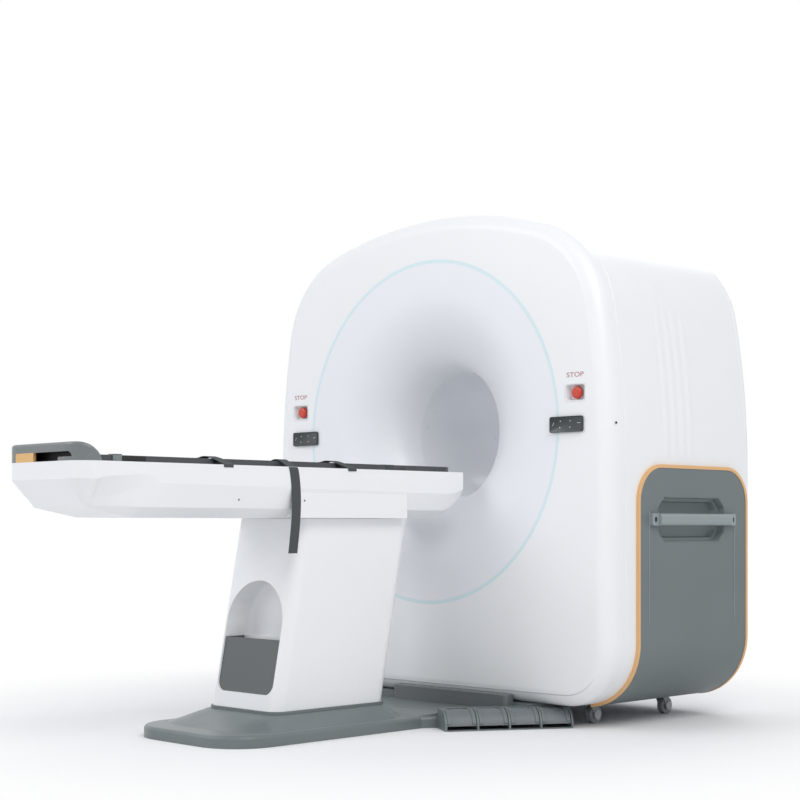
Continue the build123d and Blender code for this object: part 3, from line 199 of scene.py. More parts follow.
def finish(name, tint, rough, mottle=0.03, gloss_drift=0.06, grain=900.0, grain_depth=0.00004, **steady):
    """A material with a cloudy tint, uneven gloss and a fine raised grain."""
    material = bpy.data.materials.new(name)
    material.use_nodes = True
    tree = material.node_tree
    shader = set_inputs(tree.nodes["Principled BSDF"], **steady)
    place = tree.nodes.new("ShaderNodeTexCoord")

    cloud = set_inputs(tree.nodes.new("ShaderNodeTexNoise"), Scale=CLOUD_SCALE, Detail=3)
    ramp = tree.nodes.new("ShaderNodeValToRGB")
    for end, shift in enumerate((-mottle, mottle)):
        ramp.color_ramp.elements[end].color = [min(1, c * (1 + shift)) for c in tint] + [1]
        ramp.color_ramp.elements[end].position = CLOUD_BAND[end]
    tree.links.new(place.outputs["Object"], cloud.inputs["Vector"])
    tree.links.new(cloud.outputs["Fac"], ramp.inputs["Fac"])
    tree.links.new(ramp.outputs["Color"], shader.inputs["Base Color"])

    smear = set_inputs(tree.nodes.new("ShaderNodeTexNoise"), Scale=SMEAR_SCALE, Detail=2)
    gloss = set_inputs(tree.nodes.new("ShaderNodeMapRange"),
                       To_Min=max(0.02, rough - gloss_drift), To_Max=rough + gloss_drift)
    tree.links.new(place.outputs["Object"], smear.inputs["Vector"])
    tree.links.new(smear.outputs["Fac"], gloss.inputs["Value"])
    tree.links.new(gloss.outputs["Result"], shader.inputs["Roughness"])

    pores = set_inputs(tree.nodes.new("ShaderNodeTexNoise"), Scale=grain, Detail=2)
    raised = set_inputs(tree.nodes.new("ShaderNodeBump"), Distance=grain_depth, Strength=PORE_STRENGTH)
    tree.links.new(place.outputs["Object"], pores.inputs["Vector"])
    tree.links.new(pores.outputs["Fac"], raised.inputs["Height"])
    tree.links.new(raised.outputs["Normal"], shader.inputs["Normal"])
    finishes[name] = material
    return material


# %% Plastic, paint and rubber
finish("white_shell", (0.88, 0.89, 0.90), 0.32, mottle=0.006, grain=400, grain_depth=0.00001)
finish("funnel_white", (0.85, 0.865, 0.89), 0.36, mottle=0.006, grain=400, grain_depth=0.00001)
finish("liner_clear", (0.80, 0.815, 0.84), 0.30, mottle=0.01)
finish("panel_grey", (0.155, 0.185, 0.19), 0.48, mottle=0.04, grain=1400, grain_depth=0.0001)
finish("trim_orange", (0.79, 0.46, 0.20), 0.34, mottle=0.03, grain=1100)
finish("grip_grey", (0.28, 0.325, 0.33), 0.36, mottle=0.03, grain=1300)
finish("base_grey", (0.16, 0.185, 0.19), 0.36, mottle=0.04, grain=800, grain_depth=0.00008)
finish("dock_dark", (0.15, 0.165, 0.175), 0.42, mottle=0.04, grain=1200)
finish("pedal_grey", (0.15, 0.17, 0.18), 0.44, mottle=0.05, grain=1500, grain_depth=0.0001)
finish("pocket_dark", (0.11, 0.12, 0.12), 0.45, mottle=0.05, grain=1200)
finish("hood_grey", (0.18, 0.20, 0.20), 0.28, mottle=0.03, grain=1200)
finish("liner_black", (0.012, 0.012, 0.013), 0.55, mottle=0.05, grain=1200)
finish("accent_orange", (0.76, 0.46, 0.18), 0.40, mottle=0.03, grain=1100)
finish("keypad_dark", (0.035, 0.043, 0.048), 0.22, mottle=0.05, grain=1500)
finish("stop_red", (0.60, 0.045, 0.02), 0.25, mottle=0.03, grain=900, Coat_Weight=0.3)
finish("bezel_white", (0.80, 0.81, 0.82), 0.32, mottle=0.01)
finish("inlet_black", (0.02, 0.02, 0.022), 0.5, mottle=0.05)
finish("belt_rubber", (0.015, 0.015, 0.016), 0.7, mottle=0.1, grain=700, grain_depth=0.0002)
finish("brush_dark", (0.04, 0.04, 0.04), 0.5, mottle=0.05)
finish("detector_dark", (0.07, 0.08, 0.09), 0.5, mottle=0.04)
finish("caster_fork", (0.24, 0.255, 0.27), 0.42, mottle=0.05, grain=1500)
finish("caster_wheel", (0.26, 0.275, 0.29), 0.5, mottle=0.06, grain=1600, grain_depth=0.0001)
finish("strap_dark", (0.05, 0.055, 0.055), 0.8, mottle=0.08, grain=1500, grain_depth=0.0003)
finish("board_dark", (0.068, 0.072, 0.078), 0.42, mottle=0.06, grain=500, grain_depth=0.0001)
finish("frame_steel", (0.28, 0.30, 0.32), 0.5, mottle=0.05, grain=700, grain_depth=0.0001)
finish("lift_steel", (0.55, 0.57, 0.59), 0.4, mottle=0.03)
finish("motor_dark", (0.05, 0.055, 0.06), 0.5, mottle=0.08)

# %% Metals and the lit ring
METALS = {
    "deck_aluminium": (0.62, 0.64, 0.66),
    "rotor_aluminium": (0.60, 0.61, 0.63),
    "bearing_steel": (0.50, 0.51, 0.53),
    "tube_housing": (0.50, 0.52, 0.54),
    "tank_grey": (0.42, 0.44, 0.46),
    "slip_brass": (0.62, 0.47, 0.22),
}
for name, tint in METALS.items():
    finish(name, tint, 0.36, mottle=0.05, gloss_drift=0.1, grain=1500, Metallic=1.0)
finish("light_diffuser", (0.66, 0.79, 0.82), 0.35, mottle=0.02,
       Emission_Color=(0.75, 0.95, 0.98, 1), Emission_Strength=0.04)

# %% Finishes of the small pieces
finish("print_red", (0.42, 0.14, 0.15), 0.5, mottle=0.03)
finish("print_white", (0.62, 0.66, 0.68), 0.45, mottle=0.03)
finish("screw_steel", (0.30, 0.31, 0.32), 0.35, mottle=0.05, Metallic=1.0)
finish("shadow_gap", (0.20, 0.21, 0.22), 0.6, mottle=0.03)
finish("recess_grey", (0.20, 0.235, 0.24), 0.40, mottle=0.03, grain=1400)
# A lighter copy of panel_grey, which paints the highlight along the fine panel ridges.
finish("ridge_grey", (0.26, 0.31, 0.33), 0.35, mottle=0.03)
finish("glass_dark", (0.012, 0.014, 0.016), 0.08, mottle=0.02)
finish("hub_grey", (0.42, 0.44, 0.47), 0.34, mottle=0.04)
print("finishes", len(finishes))

# %% Give every node its finish
for row in frame["record"]["subparts"]:
    for slot in nodes[row["node"]].material_slots:
        slot.material = finishes[row["material_slot"]]

# %% [markdown]
# ## Helpers for modelling
# Every small piece below starts as a block, a rod or a grid and is shaped in edit mode, as by hand. An
# operator acts on all that is selected, so each helper first selects one object alone. Faces and edges
# are then picked in code, by where they lie and which way they point.


# %% Select one object, and pick its faces or edges
def only(obj):
    """Select one object alone and make it active."""
    bpy.ops.object.select_all(action="DESELECT")
    obj.hide_set(False)
    obj.select_set(True)
    bpy.context.view_layer.objects.active = obj


def pick(obj, test, kind="faces"):
    """In edit mode, select the faces or edges that pass a test."""
    only(obj)
    bpy.ops.object.mode_set(mode="EDIT")
    bpy.ops.mesh.select_mode(type="FACE" if kind == "faces" else "EDGE")
    bpy.ops.mesh.select_all(action="DESELECT")
    mesh = bmesh.from_edit_mesh(obj.data)
    for part in mesh.faces if kind == "faces" else mesh.edges:
        part.select_set(bool(test(part)))
    mesh.select_flush_mode()
    bmesh.update_edit_mesh(obj.data)


def leave():
    """Go back from edit mode."""
    bpy.ops.object.mode_set(mode="OBJECT")


def facing(*way):
    """A test for faces that look in a direction."""
    return lambda face: face.normal.dot(Vector(way).normalized()) > 0.9


def running(*way):
    """A test for edges that run along a direction, either way."""
    return lambda edge: abs((edge.verts[0].co - edge.verts[1].co).normalized().dot(Vector(way))) > 0.9


# %% Shape what is picked
def push(way):
    """Extrude what is selected along a direction."""
    bpy.ops.mesh.extrude_region_move(TRANSFORM_OT_translate={"value": way})


def sink(obj, test, rim, way, sloping=False):
    """Inset the picked faces, which leaves a rim, and push them. Walls that slope need no extrude."""
    pick(obj, test)
    bpy.ops.mesh.inset(thickness=rim)
    if sloping:
        bpy.ops.transform.translate(value=way)
    else:
        push(way)
    leave()


def face_out(obj):
    """Make all faces of a mesh agree on which side is out."""
    pick(obj, lambda face: True)
    bpy.ops.mesh.normals_make_consistent(inside=False)
    leave()


# %% Modifiers that are applied at once
EDGE_ANGLE = math.radians(30)
SMOOTH_ANGLE = math.radians(40)
SKIN_SMOOTH_ANGLE = math.radians(60)


def modify(obj, kind, **settings):
    """Add one modifier with its settings and apply it."""
    only(obj)
    modifier = obj.modifiers.new(kind.lower(), kind)
    for key, value in settings.items():
        setattr(modifier, key, value)
    bpy.ops.object.modifier_apply(modifier=modifier.name)


def soften(obj, width, segments):
    """Round the sharp edges and shade the rest smooth."""
    modify(obj, "BEVEL", width=width, segments=segments, limit_method="ANGLE",
           angle_limit=EDGE_ANGLE, use_clamp_overlap=True)
    only(obj)
    bpy.ops.object.shade_smooth_by_angle(angle=SMOOTH_ANGLE)


def carve(obj, cutter):
    """Cut one shape out of another and throw the cutter away."""
    modify(obj, "BOOLEAN", operation="DIFFERENCE", solver="EXACT", object=cutter)
    bpy.data.objects.remove(cutter)


# %% Blocks, rods and grids
def block(name, low, high):
    """A block between two corners, with its place in its mesh."""
    bpy.ops.object.select_all(action="DESELECT")
    bpy.ops.mesh.primitive_cube_add(size=1, location=[(a + b) / 2 for a, b in zip(low, high)])
    obj = bpy.context.active_object
    obj.name = obj.data.name = name
    obj.scale = [b - a for a, b in zip(low, high)]
    bpy.ops.object.transform_apply(location=True, rotation=True, scale=True)
    return obj


def rod(name, centre, direction, radius, length, sides):
    """A rod along a direction, centred on a point."""
    bpy.ops.object.select_all(action="DESELECT")
    bpy.ops.mesh.primitive_cylinder_add(vertices=sides, radius=radius, depth=length, location=centre,
                                        rotation=Vector(direction).to_track_quat("Z", "Y").to_euler())
    obj = bpy.context.active_object
    obj.name = obj.data.name = name
    bpy.ops.object.transform_apply(location=True, rotation=True, scale=True)
    return obj


def grid(name, across, along, **stand):
    """A flat grid one metre wide, whose points are then moved."""
    bpy.ops.object.select_all(action="DESELECT")
    bpy.ops.mesh.primitive_grid_add(x_subdivisions=across, y_subdivisions=along, size=1, **stand)
    obj = bpy.context.active_object
    obj.name = obj.data.name = name
    return obj


# %% A thin tube through points
def tube(name, points, radii):
    """A smooth tube that grows thicker and thinner, as a mesh."""
    curve = bpy.data.curves.new(name, "CURVE")
    curve.dimensions = "3D"
    curve.bevel_depth = 1
    curve.bevel_resolution = 2
    curve.resolution_u = 6
    spline = curve.splines.new("NURBS")
    spline.points.add(len(points) - 1)
    for knot, place, radius in zip(spline.points, points, radii):
        knot.co = (*place, 1)
        knot.radius = radius
    spline.order_u = 3
    spline.use_endpoint_u = True
    curve.use_fill_caps = True
    obj = bpy.data.objects.new(name, curve)
    bpy.context.collection.objects.link(obj)
    only(obj)
    bpy.ops.object.convert(target="MESH")
    bpy.ops.object.shade_smooth_by_angle(angle=SKIN_SMOOTH_ANGLE)
    return obj


# %% Copies and joins
def mirror_copy(obj, name):
    """A copy with its own mesh, mirrored to the left side."""
    twin = obj.copy()
    twin.data = obj.data.copy()
    twin.name = twin.data.name = name
    bpy.context.collection.objects.link(twin)
    twin.data.transform(Matrix.Diagonal((-1, 1, 1, 1)))
    twin.data.flip_normals()
    return twin


def join(objects, name):
    """Several pieces made one mesh."""
    bpy.ops.object.select_all(action="DESELECT")
    for obj in objects:
        obj.select_set(True)
    bpy.context.view_layer.objects.active = objects[0]
    bpy.ops.object.join()
    objects[0].name = objects[0].data.name = name
    return objects[0]


# %% Settle a piece on its body
def settle(obj, finish_name, body, slot=None):
    """Put the place into the mesh, give the finish, and let the piece ride on its body."""
    only(obj)
    bpy.ops.object.transform_apply(location=True, rotation=True, scale=True)
    obj.data.materials.clear()
    obj.data.materials.append(finishes[finish_name])
    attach(obj, body)
    print(obj.name, "faces", len(obj.data.polygons), "on", body)


def settle_pair(obj, twin_name, *how):
    """Settle a piece and its mirror copy on the other side."""
    settle(mirror_copy(obj, twin_name), *how)
    settle(obj, *how)


def box_of(node):
    """A node's lowest and highest corners."""
    low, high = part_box(node)
    return Vector(low), Vector(high)


# %% [markdown]
# ## Touch keypads
# Each keypad is a dark moulded plate with round corners and a sunk glossy face. A block gets round
# corners with an edge bevel, then its front is inset and pushed back, which leaves a thin rim. The
# printed marks are raised a hair, so that they are real geometry and not a picture.

# %% Keypad plates
SIDES = ("right", "left")
KEYPAD_CORNER = 0.007
KEYPAD_RIM = 0.0022
KEYPAD_SINK = 0.0007
KEYPAD_EDGE = 0.0006

for side in SIDES:
    plate = block("keypad_" + side, *box_of("control_panel_" + side))
    pick(plate, running(0, 1, 0), "edges")
    bpy.ops.mesh.bevel(offset=KEYPAD_CORNER, segments=6)
    leave()
    sink(plate, facing(0, -1, 0), KEYPAD_RIM, (0, KEYPAD_SINK, 0))
    soften(plate, KEYPAD_EDGE, 2)
    settle(plate, "keypad_dark", "machine")
    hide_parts("control_panel_" + side)

# %% Marks on the keypads
MARKS = [(0.325, 0.30), (0.633, 0.30), (0.34, 0.70), (0.64, 0.70)]    # shares of width and height
DASHES = [((0.10, 0.42), (0.14, 0.64)), ((0.85, 0.55), (0.95, 0.55))]
MARK_RADIUS = 0.0021
MARK_THICK = 0.0006
DASH_RADIUS = 0.0009
PRINT_PROUD = 0.0001
PRINT_EDGE = 0.0002


def on_keypad(side, across, up):
    """The place on a keypad's face at these shares of its width and height."""
    low, high = box_of("control_panel_" + side)
    return Vector((low.x + across * (high.x - low.x), low.y + KEYPAD_SINK - PRINT_PROUD,
                   low.z + up * (high.z - low.z)))


for side in SIDES:
    marks = [rod("mark", on_keypad(side, *spot), (0, 1, 0), MARK_RADIUS, MARK_THICK, 12) for spot in MARKS]
    for first, last in DASHES:
        start, end = on_keypad(side, *first), on_keypad(side, *last)
        marks.append(rod("dash", (start + end) / 2, end - start, DASH_RADIUS, (end - start).length, 8))
    marks = join(marks, "keypad_marks_" + side)
    soften(marks, PRINT_EDGE, 1)
    settle(marks, "print_white", "machine", "bezel_white")

# %% [markdown]
# ## Stop buttons
# A stop button sits in a soft dish, so that nobody presses it by leaning on the cover. The dish is a
# block whose front spreads into a low rim, is inset, and is pushed back with a smaller floor, which
# gives sloping walls. A round hole is cut for the stem, and a wide bevel makes the edges as soft as they
# look on the machine.

# %% A dish for a stop button
DISH_CORNER = 0.013
DISH_STEP = 0.0001              # the sharp step under the spread rim
DISH_FLANGE = 0.0028
DISH_PROUD = 0.0007
DISH_LIP = 0.0048
DISH_DEEP = 0.0214              # a pressed button just clears the floor
DISH_FLOOR_SHARE = 0.80
DISH_EDGE = 0.0018
STEM_HOLE_RADIUS = 0.0145
STEM_HOLE_LENGTH = 0.03


def dish(side):
    """The soft dish round one stop button. Returns the button's middle."""
    low, high = box_of("stop_bezel_" + side)
    button_low, button_high = box_of("stop_button_" + side)
    middle = (button_low + button_high) / 2
    cup = block("stop_dish_" + side, low, high)
    pick(cup, running(0, 1, 0), "edges")
    bpy.ops.mesh.bevel(offset=DISH_CORNER, segments=5)
    leave()
    pick(cup, facing(0, -1, 0))
    front = Vector(((low.x + high.x) / 2, low.y, (low.z + high.z) / 2))
    spread = (1 + 2 * DISH_FLANGE / (high.x - low.x), 1, 1 + 2 * DISH_FLANGE / (high.z - low.z))
    push((0, -DISH_STEP, 0))
    bpy.ops.transform.resize(value=spread, center_override=front)
    push((0, -DISH_PROUD, 0))
    bpy.ops.mesh.inset(thickness=DISH_LIP)
    push((0, DISH_DEEP, 0))
    bpy.ops.transform.resize(value=(DISH_FLOOR_SHARE, 1, DISH_FLOOR_SHARE),
                             center_override=front + Vector((0, DISH_DEEP, 0)))
    leave()
    carve(cup, rod("stem_hole", (middle.x, high.y, middle.z), (0, 1, 0),
                   STEM_HOLE_RADIUS, STEM_HOLE_LENGTH, 32))
    soften(cup, DISH_EDGE, 3)
    settle(cup, "bezel_white", "machine")
    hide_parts("stop_bezel_" + side)
    return middle


# %% Dishes, and the word above each button
STOP_WIDTH = 0.070
STOP_HIGH = 0.0155
STOP_ABOVE = 0.058
STOP_PROUD = 0.0003
LETTER_SIZE = 0.02
LETTER_THICK = 0.0002

for side in SIDES:
    button = dish(side)
    text = bpy.data.curves.new("stop_word_" + side, "FONT")
    text.body = "STOP"
    text.align_x = "CENTER"
    text.size = LETTER_SIZE
    text.extrude = LETTER_THICK
    word = bpy.data.objects.new("stop_word_" + side, text)
    bpy.context.collection.objects.link(word)
    only(word)
    bpy.ops.object.convert(target="MESH")
    size = word.dimensions
    word.data.transform(Matrix.Diagonal((STOP_WIDTH / size.x, STOP_HIGH / size.y, 1, 1)))
    word.data.transform(Matrix.Rotation(math.radians(90), 4, "X"))
    word.data.transform(Matrix.Translation((button.x, -STOP_PROUD, button.z + STOP_ABOVE - STOP_HIGH / 2)))
    settle(word, "print_red", "machine", "stop_red")

# %% [markdown]
# ## Small windows of the positioning lights
# Lights that mark the slice shine out of small dark windows on the soft edge of the cover. Each is a
# short rod set square to the curved surface. A rod in a rod gives the pale rim and the dark glass, and
# the glass bulges a little, because its middle is inset and moved outwards.

# %% Windows of the positioning lights
WINDOW_PLACE = Vector((0.809, 0.037, 0.9935))
WINDOW_AXIS = Vector((0.945, -0.327, 0))
WINDOW_THICK = 0.002
RIM_RADIUS = 0.0058
GLASS_RADIUS = 0.0042
GLASS_RIM = 0.0012
GLASS_PROUD = 0.0006
RIM_EDGE = 0.0006
GLASS_EDGE = 0.0003

ring = rod("lens_ring", WINDOW_PLACE, WINDOW_AXIS, RIM_RADIUS, WINDOW_THICK, 24)
soften(ring, RIM_EDGE, 2)
glass_place = WINDOW_PLACE + WINDOW_AXIS * GLASS_PROUD
glass = rod("lens_glass", glass_place, WINDOW_AXIS, GLASS_RADIUS, WINDOW_THICK, 20)
sink(glass, facing(*WINDOW_AXIS), GLASS_RIM, WINDOW_AXIS * GLASS_PROUD, sloping=True)
soften(glass, GLASS_EDGE, 2)
settle_pair(ring, "lens_ring_left", "bezel_white", "machine")
settle_pair(glass, "lens_glass_left", "glass_dark", "machine", "inlet_black")

# %% [markdown]
# ## Soft waves in the hood's cheeks
# Five shallow waves are moulded into each side of the hood. Upwards they fade away. A displaced skin is
# the simple way: a fine grid takes its outline from the hood by casting rays at it, then each point is
# lifted by a small wave. The grid's border dips under the hood, so no edge shows.

# %% A ray that finds the surface of a node
FAR_RIGHT, FAR_FRONT = 2, -3        # where rays start, well outside the machine
trees = {}


def tree_of(node):
    """A node's faces, ready to be met by rays."""
    if node not in trees:
        source = nodes[node]
        corners = [source.matrix_world @ v.co for v in source.data.vertices]
        trees[node] = BVHTree.FromPolygons(corners, [tuple(p.vertices) for p in source.data.polygons])
    return trees[node]


def from_right(node, y, z):
    """Where a ray from the right meets a node, and which way the surface looks there."""
    place, outward, _, _ = tree_of(node).ray_cast(Vector((FAR_RIGHT, y, z)), Vector((-1, 0, 0)))
    return place, outward


def front_y(node, x, z):
    """How far forward a node's surface lies, seen from the foot end."""
    return tree_of(node).ray_cast(Vector((x, FAR_FRONT, z)), Vector((0, 1, 0)))[0].y


# %% Waves
WAVE_FIRST = 0.285
WAVE_PITCH = 0.045
WAVE_COUNT = 5
WAVE_LIFT = 0.0028
WAVE_SINK = 0.0004
WAVE_LOW = 0.867
WAVE_HIGH = 1.56
WAVE_FADE_FROM = 1.25
WAVE_GROWTH = 11                # the waves grow over the lowest eleventh of their height
CHEEK_MARGIN = 0.006
CHEEK_PROBE = 0.005
SKIN_THICK = 0.0012
GRID_Y = 90
GRID_Z = 60


def ease(share):
    """A soft start and a soft end between 0 and 1."""
    share = min(1, max(0, share))
    return share * share * (3 - 2 * share)


wave_start = WAVE_FIRST - CHEEK_MARGIN
wave_end = WAVE_FIRST + (WAVE_COUNT - 1) * WAVE_PITCH + CHEEK_MARGIN
cheek = grid("cheek_waves_right", GRID_Y, GRID_Z)
for vertex in cheek.data.vertices:
    along, up = vertex.co.x + 0.5, vertex.co.y + 0.5
    y = wave_start + along * (wave_end - wave_start)
    z = WAVE_LOW + up * (WAVE_HIGH - WAVE_LOW)
    hood_x = from_right("hood_shell", wave_start - CHEEK_PROBE, z)[0].x
    grow = ease(up * WAVE_GROWTH)
    fade = ease((WAVE_HIGH - z) / (WAVE_HIGH - WAVE_FADE_FROM))
    crest = 0.5 - 0.5 * math.cos(2 * math.pi * (y - WAVE_FIRST) / WAVE_PITCH)
    lift = WAVE_LIFT * crest * fade * grow - WAVE_SINK
    vertex.co = (hood_x + lift, y, z)
only(cheek)
bpy.ops.object.shade_smooth()
face_out(cheek)
if cheek.data.polygons[0].normal.x < 0:
    cheek.data.flip_normals()
modify(cheek, "SOLIDIFY", thickness=SKIN_THICK, offset=-1)
settle_pair(cheek, "cheek_waves_left", "white_shell", "machine")

# %% [markdown]
# ## Straps of woven webbing
# Three bands lie across the board. On the near side two of them lift off a little, slope down to the
# table's rim and end in a short tab over it. A fourth one hangs far down the side. Each is a fine grid
# laid along a path and made 2 mm thick, because a flat strap keeps its width and only bends. Its ribs
# are too fine to model, so two wave textures raise them.

# %% A finish for webbing
WEAVE_PITCH = 0.0016
WAVE_TEXTURE_STEP = 0.314       # Blender's wave texture repeats at this length divided by its scale
RIB_DEPTH = 0.0003
RIB_STRENGTH = 0.5


def webbing(name, tint):
    """Dark cloth with raised ribs both ways."""
    tree = finish(name, tint, 0.8, mottle=0.08, grain=1500, grain_depth=0.0001).node_tree
    place = next(node for node in tree.nodes if node.type == "TEX_COORD")
    grain = next(node for node in tree.nodes if node.type == "BUMP")
    both = tree.nodes.new("ShaderNodeMath")
    both.operation = "ADD"
    for row, way in enumerate(("Y", "DIAGONAL")):
        ribs = set_inputs(tree.nodes.new("ShaderNodeTexWave"), Scale=WAVE_TEXTURE_STEP / WEAVE_PITCH)
        ribs.bands_direction = way
        tree.links.new(place.outputs["Object"], ribs.inputs["Vector"])
        tree.links.new(ribs.outputs["Fac"], both.inputs[row])
    raised = set_inputs(tree.nodes.new("ShaderNodeBump"), Distance=RIB_DEPTH, Strength=RIB_STRENGTH)
    tree.links.new(both.outputs[0], raised.inputs["Height"])
    tree.links.new(grain.outputs["Normal"], raised.inputs["Normal"])
    tree.links.new(raised.outputs["Normal"], tree.nodes["Principled BSDF"].inputs["Normal"])


webbing("webbing_dark", (0.062, 0.070, 0.072))
print("webbing", WEAVE_PITCH * 1000, "mm from rib to rib")

# %% A band along a path
STRAP_WIDTH = 0.036
STRAP_THICK = 0.0019
STRAP_EDGE = 0.0004
CORNER_ROUNDS = 3


def rounded(points):
    """The same path with its corners cut again and again, which leaves soft bends."""
    for _ in range(CORNER_ROUNDS):
        cut = [points[0]]
        for a, b in zip(points, points[1:]):
            cut += [a.lerp(b, 0.25), a.lerp(b, 0.75)]
        points = cut + [points[-1]]
    return points


def band(name, path, cells=70):
    """A strip of webbing along a path. Its width runs along Y."""
    points = rounded([Vector(p) for p in path])
    reach = [0]
    for a, b in zip(points, points[1:]):
        reach.append(reach[-1] + (b - a).length)
    strip = grid(name, cells, 6)
    for vertex in strip.data.vertices:
        goal = (vertex.co.x + 0.5) * reach[-1]
        step = max(k for k in range(len(points) - 1) if reach[k] <= goal + 1e-9)
        share = (goal - reach[step]) / (reach[step + 1] - reach[step])
        middle = points[step].lerp(points[step + 1], min(1, share))
        vertex.co = (middle.x, middle.y + vertex.co.y * STRAP_WIDTH, middle.z)
    modify(strip, "SOLIDIFY", thickness=STRAP_THICK, offset=0)
    face_out(strip)
    soften(strip, STRAP_EDGE, 2)
    print(name, "length", round(reach[-1], 3))
    return strip


# %% The edges that the straps follow
BAND_LIFT = 0.0011              # from the board's top to the middle of a band
WRAP_LIFT = 0.0012              # from the board's edge to the middle of a band
WRAP_TOP, WRAP_END = 0.004, 0.003    # where a band turns down, and how far it stops short

board_low, board_high = box_of("cradle_board")
edge_x, top_z = board_high.x, board_high.z + BAND_LIFT
wrap_x = edge_x + WRAP_LIFT
wrap_top, wrap_end = top_z - WRAP_TOP, board_low.z + WRAP_END
rim_x, _, rim_z = box_of("table_housing")[1]
print("board edge", round(edge_x, 4), "rim of the table", round(rim_x, 4), round(rim_z, 4))

# %% A black patch that paints the shadow where a band leaves the board's edge
PATCH_SPAN = (0.30, 1.35)
PATCH_THICK = 0.0009
PATCH_UP, PATCH_DOWN = 0.001, 0.005     # how far it stays inside the board's edge
PATCH_EDGE = 0.0004


def patch(count, y, drift):
    """A thin black patch on the board's edge, behind one tab. It paints the shadow under the lifted band.
    """
    plate = block("strap_shadow_patch_%d" % count, (edge_x, y + PATCH_SPAN[0] * drift, board_low.z + PATCH_UP),
                  (edge_x + PATCH_THICK, y + PATCH_SPAN[1] * drift, board_high.z - PATCH_DOWN))
    soften(plate, PATCH_EDGE, 2)
    settle(plate, "liner_black", "cradle")


# %% Bands across the board
BAND_PLACES = ((-1.081, 0.032), (-0.591, 0.046), (-0.332, 0))    # place, and how far the tab drifts
BAND_RISE = 0.0055
LIFT_OFF = ((0.116, 0, 0), (0.128, 0.10, BAND_RISE), (0.145, 0.25, BAND_RISE))   # x, share of drift, rise
EDGE_DRIFT = 0.45
RIM_GAP = 0.0014                # from the table's rim to the middle of a tab
TAB_DROP = 0.008

for count, (y, drift) in enumerate(BAND_PLACES, 1):
    far_side = [(-wrap_x, y, wrap_end), (-wrap_x, y, wrap_top), (-edge_x, y, top_z), (0, y, top_z)]
    near_side = [(edge_x, y, top_z), (wrap_x, y, wrap_top), (wrap_x, y, wrap_end)]
    if drift:
        edge_y, tab_y = y + EDGE_DRIFT * drift, y + drift
        near_side = [(x, y + share * drift, top_z + rise) for x, share, rise in LIFT_OFF]
        near_side.append((edge_x - 0.002, edge_y, top_z + 0.002))
        slope = [(edge_x - 0.004, edge_y, top_z + 0.0022), (edge_x + 0.006, edge_y + 0.003, top_z),
                 (rim_x - 0.008, tab_y, rim_z + 0.004), (rim_x + RIM_GAP, tab_y, rim_z + 0.0012),
                 (rim_x + RIM_GAP, tab_y, rim_z - TAB_DROP)]
        tab = band("strap_tab_%d" % count, slope, 30)
        settle(tab, "webbing_dark", "cradle", "strap_dark")
        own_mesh(tab)
        patch(count, y, drift)
    strap = band("strap_band_%d" % count, far_side + near_side)
    settle(strap, "webbing_dark", "cradle", "strap_dark")
    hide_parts("strap_loops")

# %% Hanging strap
HANG_LIFT = ((0.117, 0), (0.130, 0.004), (0.148, 0.0042))    # x and rise, where it leaves the board
HANG_GAP = 0.0015
HANG_LINE = ((0.838, -0.792), (0.815, -0.7875), (0.785, -0.784), (0.745, -0.782), (0.700, -0.7835),
             (0.650, -0.788), (0.579, -0.7975))    # height and depth, down the side of the table

hang_low, hang_high = box_of("hanging_strap")
hang_y = (hang_low.y + hang_high.y) / 2
path = [(x, hang_y, top_z + rise) for x, rise in HANG_LIFT]
path += [(edge_x + 0.003, hang_y, top_z), (rim_x - 0.010, hang_y, rim_z + 0.0045),
         (rim_x + RIM_GAP, hang_y + 0.002, rim_z - 0.002)]
path += [(rim_x + HANG_GAP, y, z) for z, y in HANG_LINE]
hanging = band("strap_hanging", path, 120)
settle(hanging, "webbing_dark", "cradle", "strap_dark")
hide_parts("hanging_strap")
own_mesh(hanging)

# %% [markdown]
# ## Fittings on the edge of the board
# Near the foot end a light clamp grips the board, next to a black pad. Farther on there is one small
# slot. The far edge has the same fittings. Each starts as a thin block on the edge. The clamp is two
# blocks joined, the pad bulges, and the slot's middle is pushed in, so that its rim catches the light.

# %% Clamp and pad
CLAMP = (-1.434, -1.403)
CLAMP_PROUD = 0.0045
CLAMP_RISE = 0.003
CLAMP_GRIP = 0.022
CLAMP_UP = 0.0005
CLAMP_EDGE = 0.0011
PAD = (-1.401, -1.318)
PAD_THICK = 0.0015
PAD_UP, PAD_DOWN = 0.0015, 0.001
PAD_RIM = 0.002
PAD_BULGE = 0.0006
PAD_EDGE = 0.0005

clamp_top = (edge_x + CLAMP_PROUD, CLAMP[1], board_high.z + CLAMP_RISE)
jaw = block("board_clamp", (edge_x, CLAMP[0], board_low.z + CLAMP_UP), clamp_top)
lid = block("lid", (edge_x - CLAMP_GRIP, CLAMP[0], board_high.z), clamp_top)
clamp = join([jaw, lid], "board_clamp")
soften(clamp, CLAMP_EDGE, 2)
pad = block("board_pad", (edge_x, PAD[0], board_low.z + PAD_UP),
            (edge_x + PAD_THICK, PAD[1], board_high.z - PAD_DOWN))
sink(pad, facing(1, 0, 0), PAD_RIM, (PAD_BULGE, 0, 0), sloping=True)
soften(pad, PAD_EDGE, 2)
print("clamp faces", len(clamp.data.polygons), "pad faces", len(pad.data.polygons))

# %% Slot, and the same fittings on the far edge
SLOT = (-0.286, -0.260)
SLOT_HEIGHT = (0.8525, 0.8585)
SLOT_RIM = 0.0009
SLOT_DEEP = 0.0008
SLOT_SUNK, SLOT_PROUD = 0.0004, 0.0006
SLOT_EDGE = 0.0002

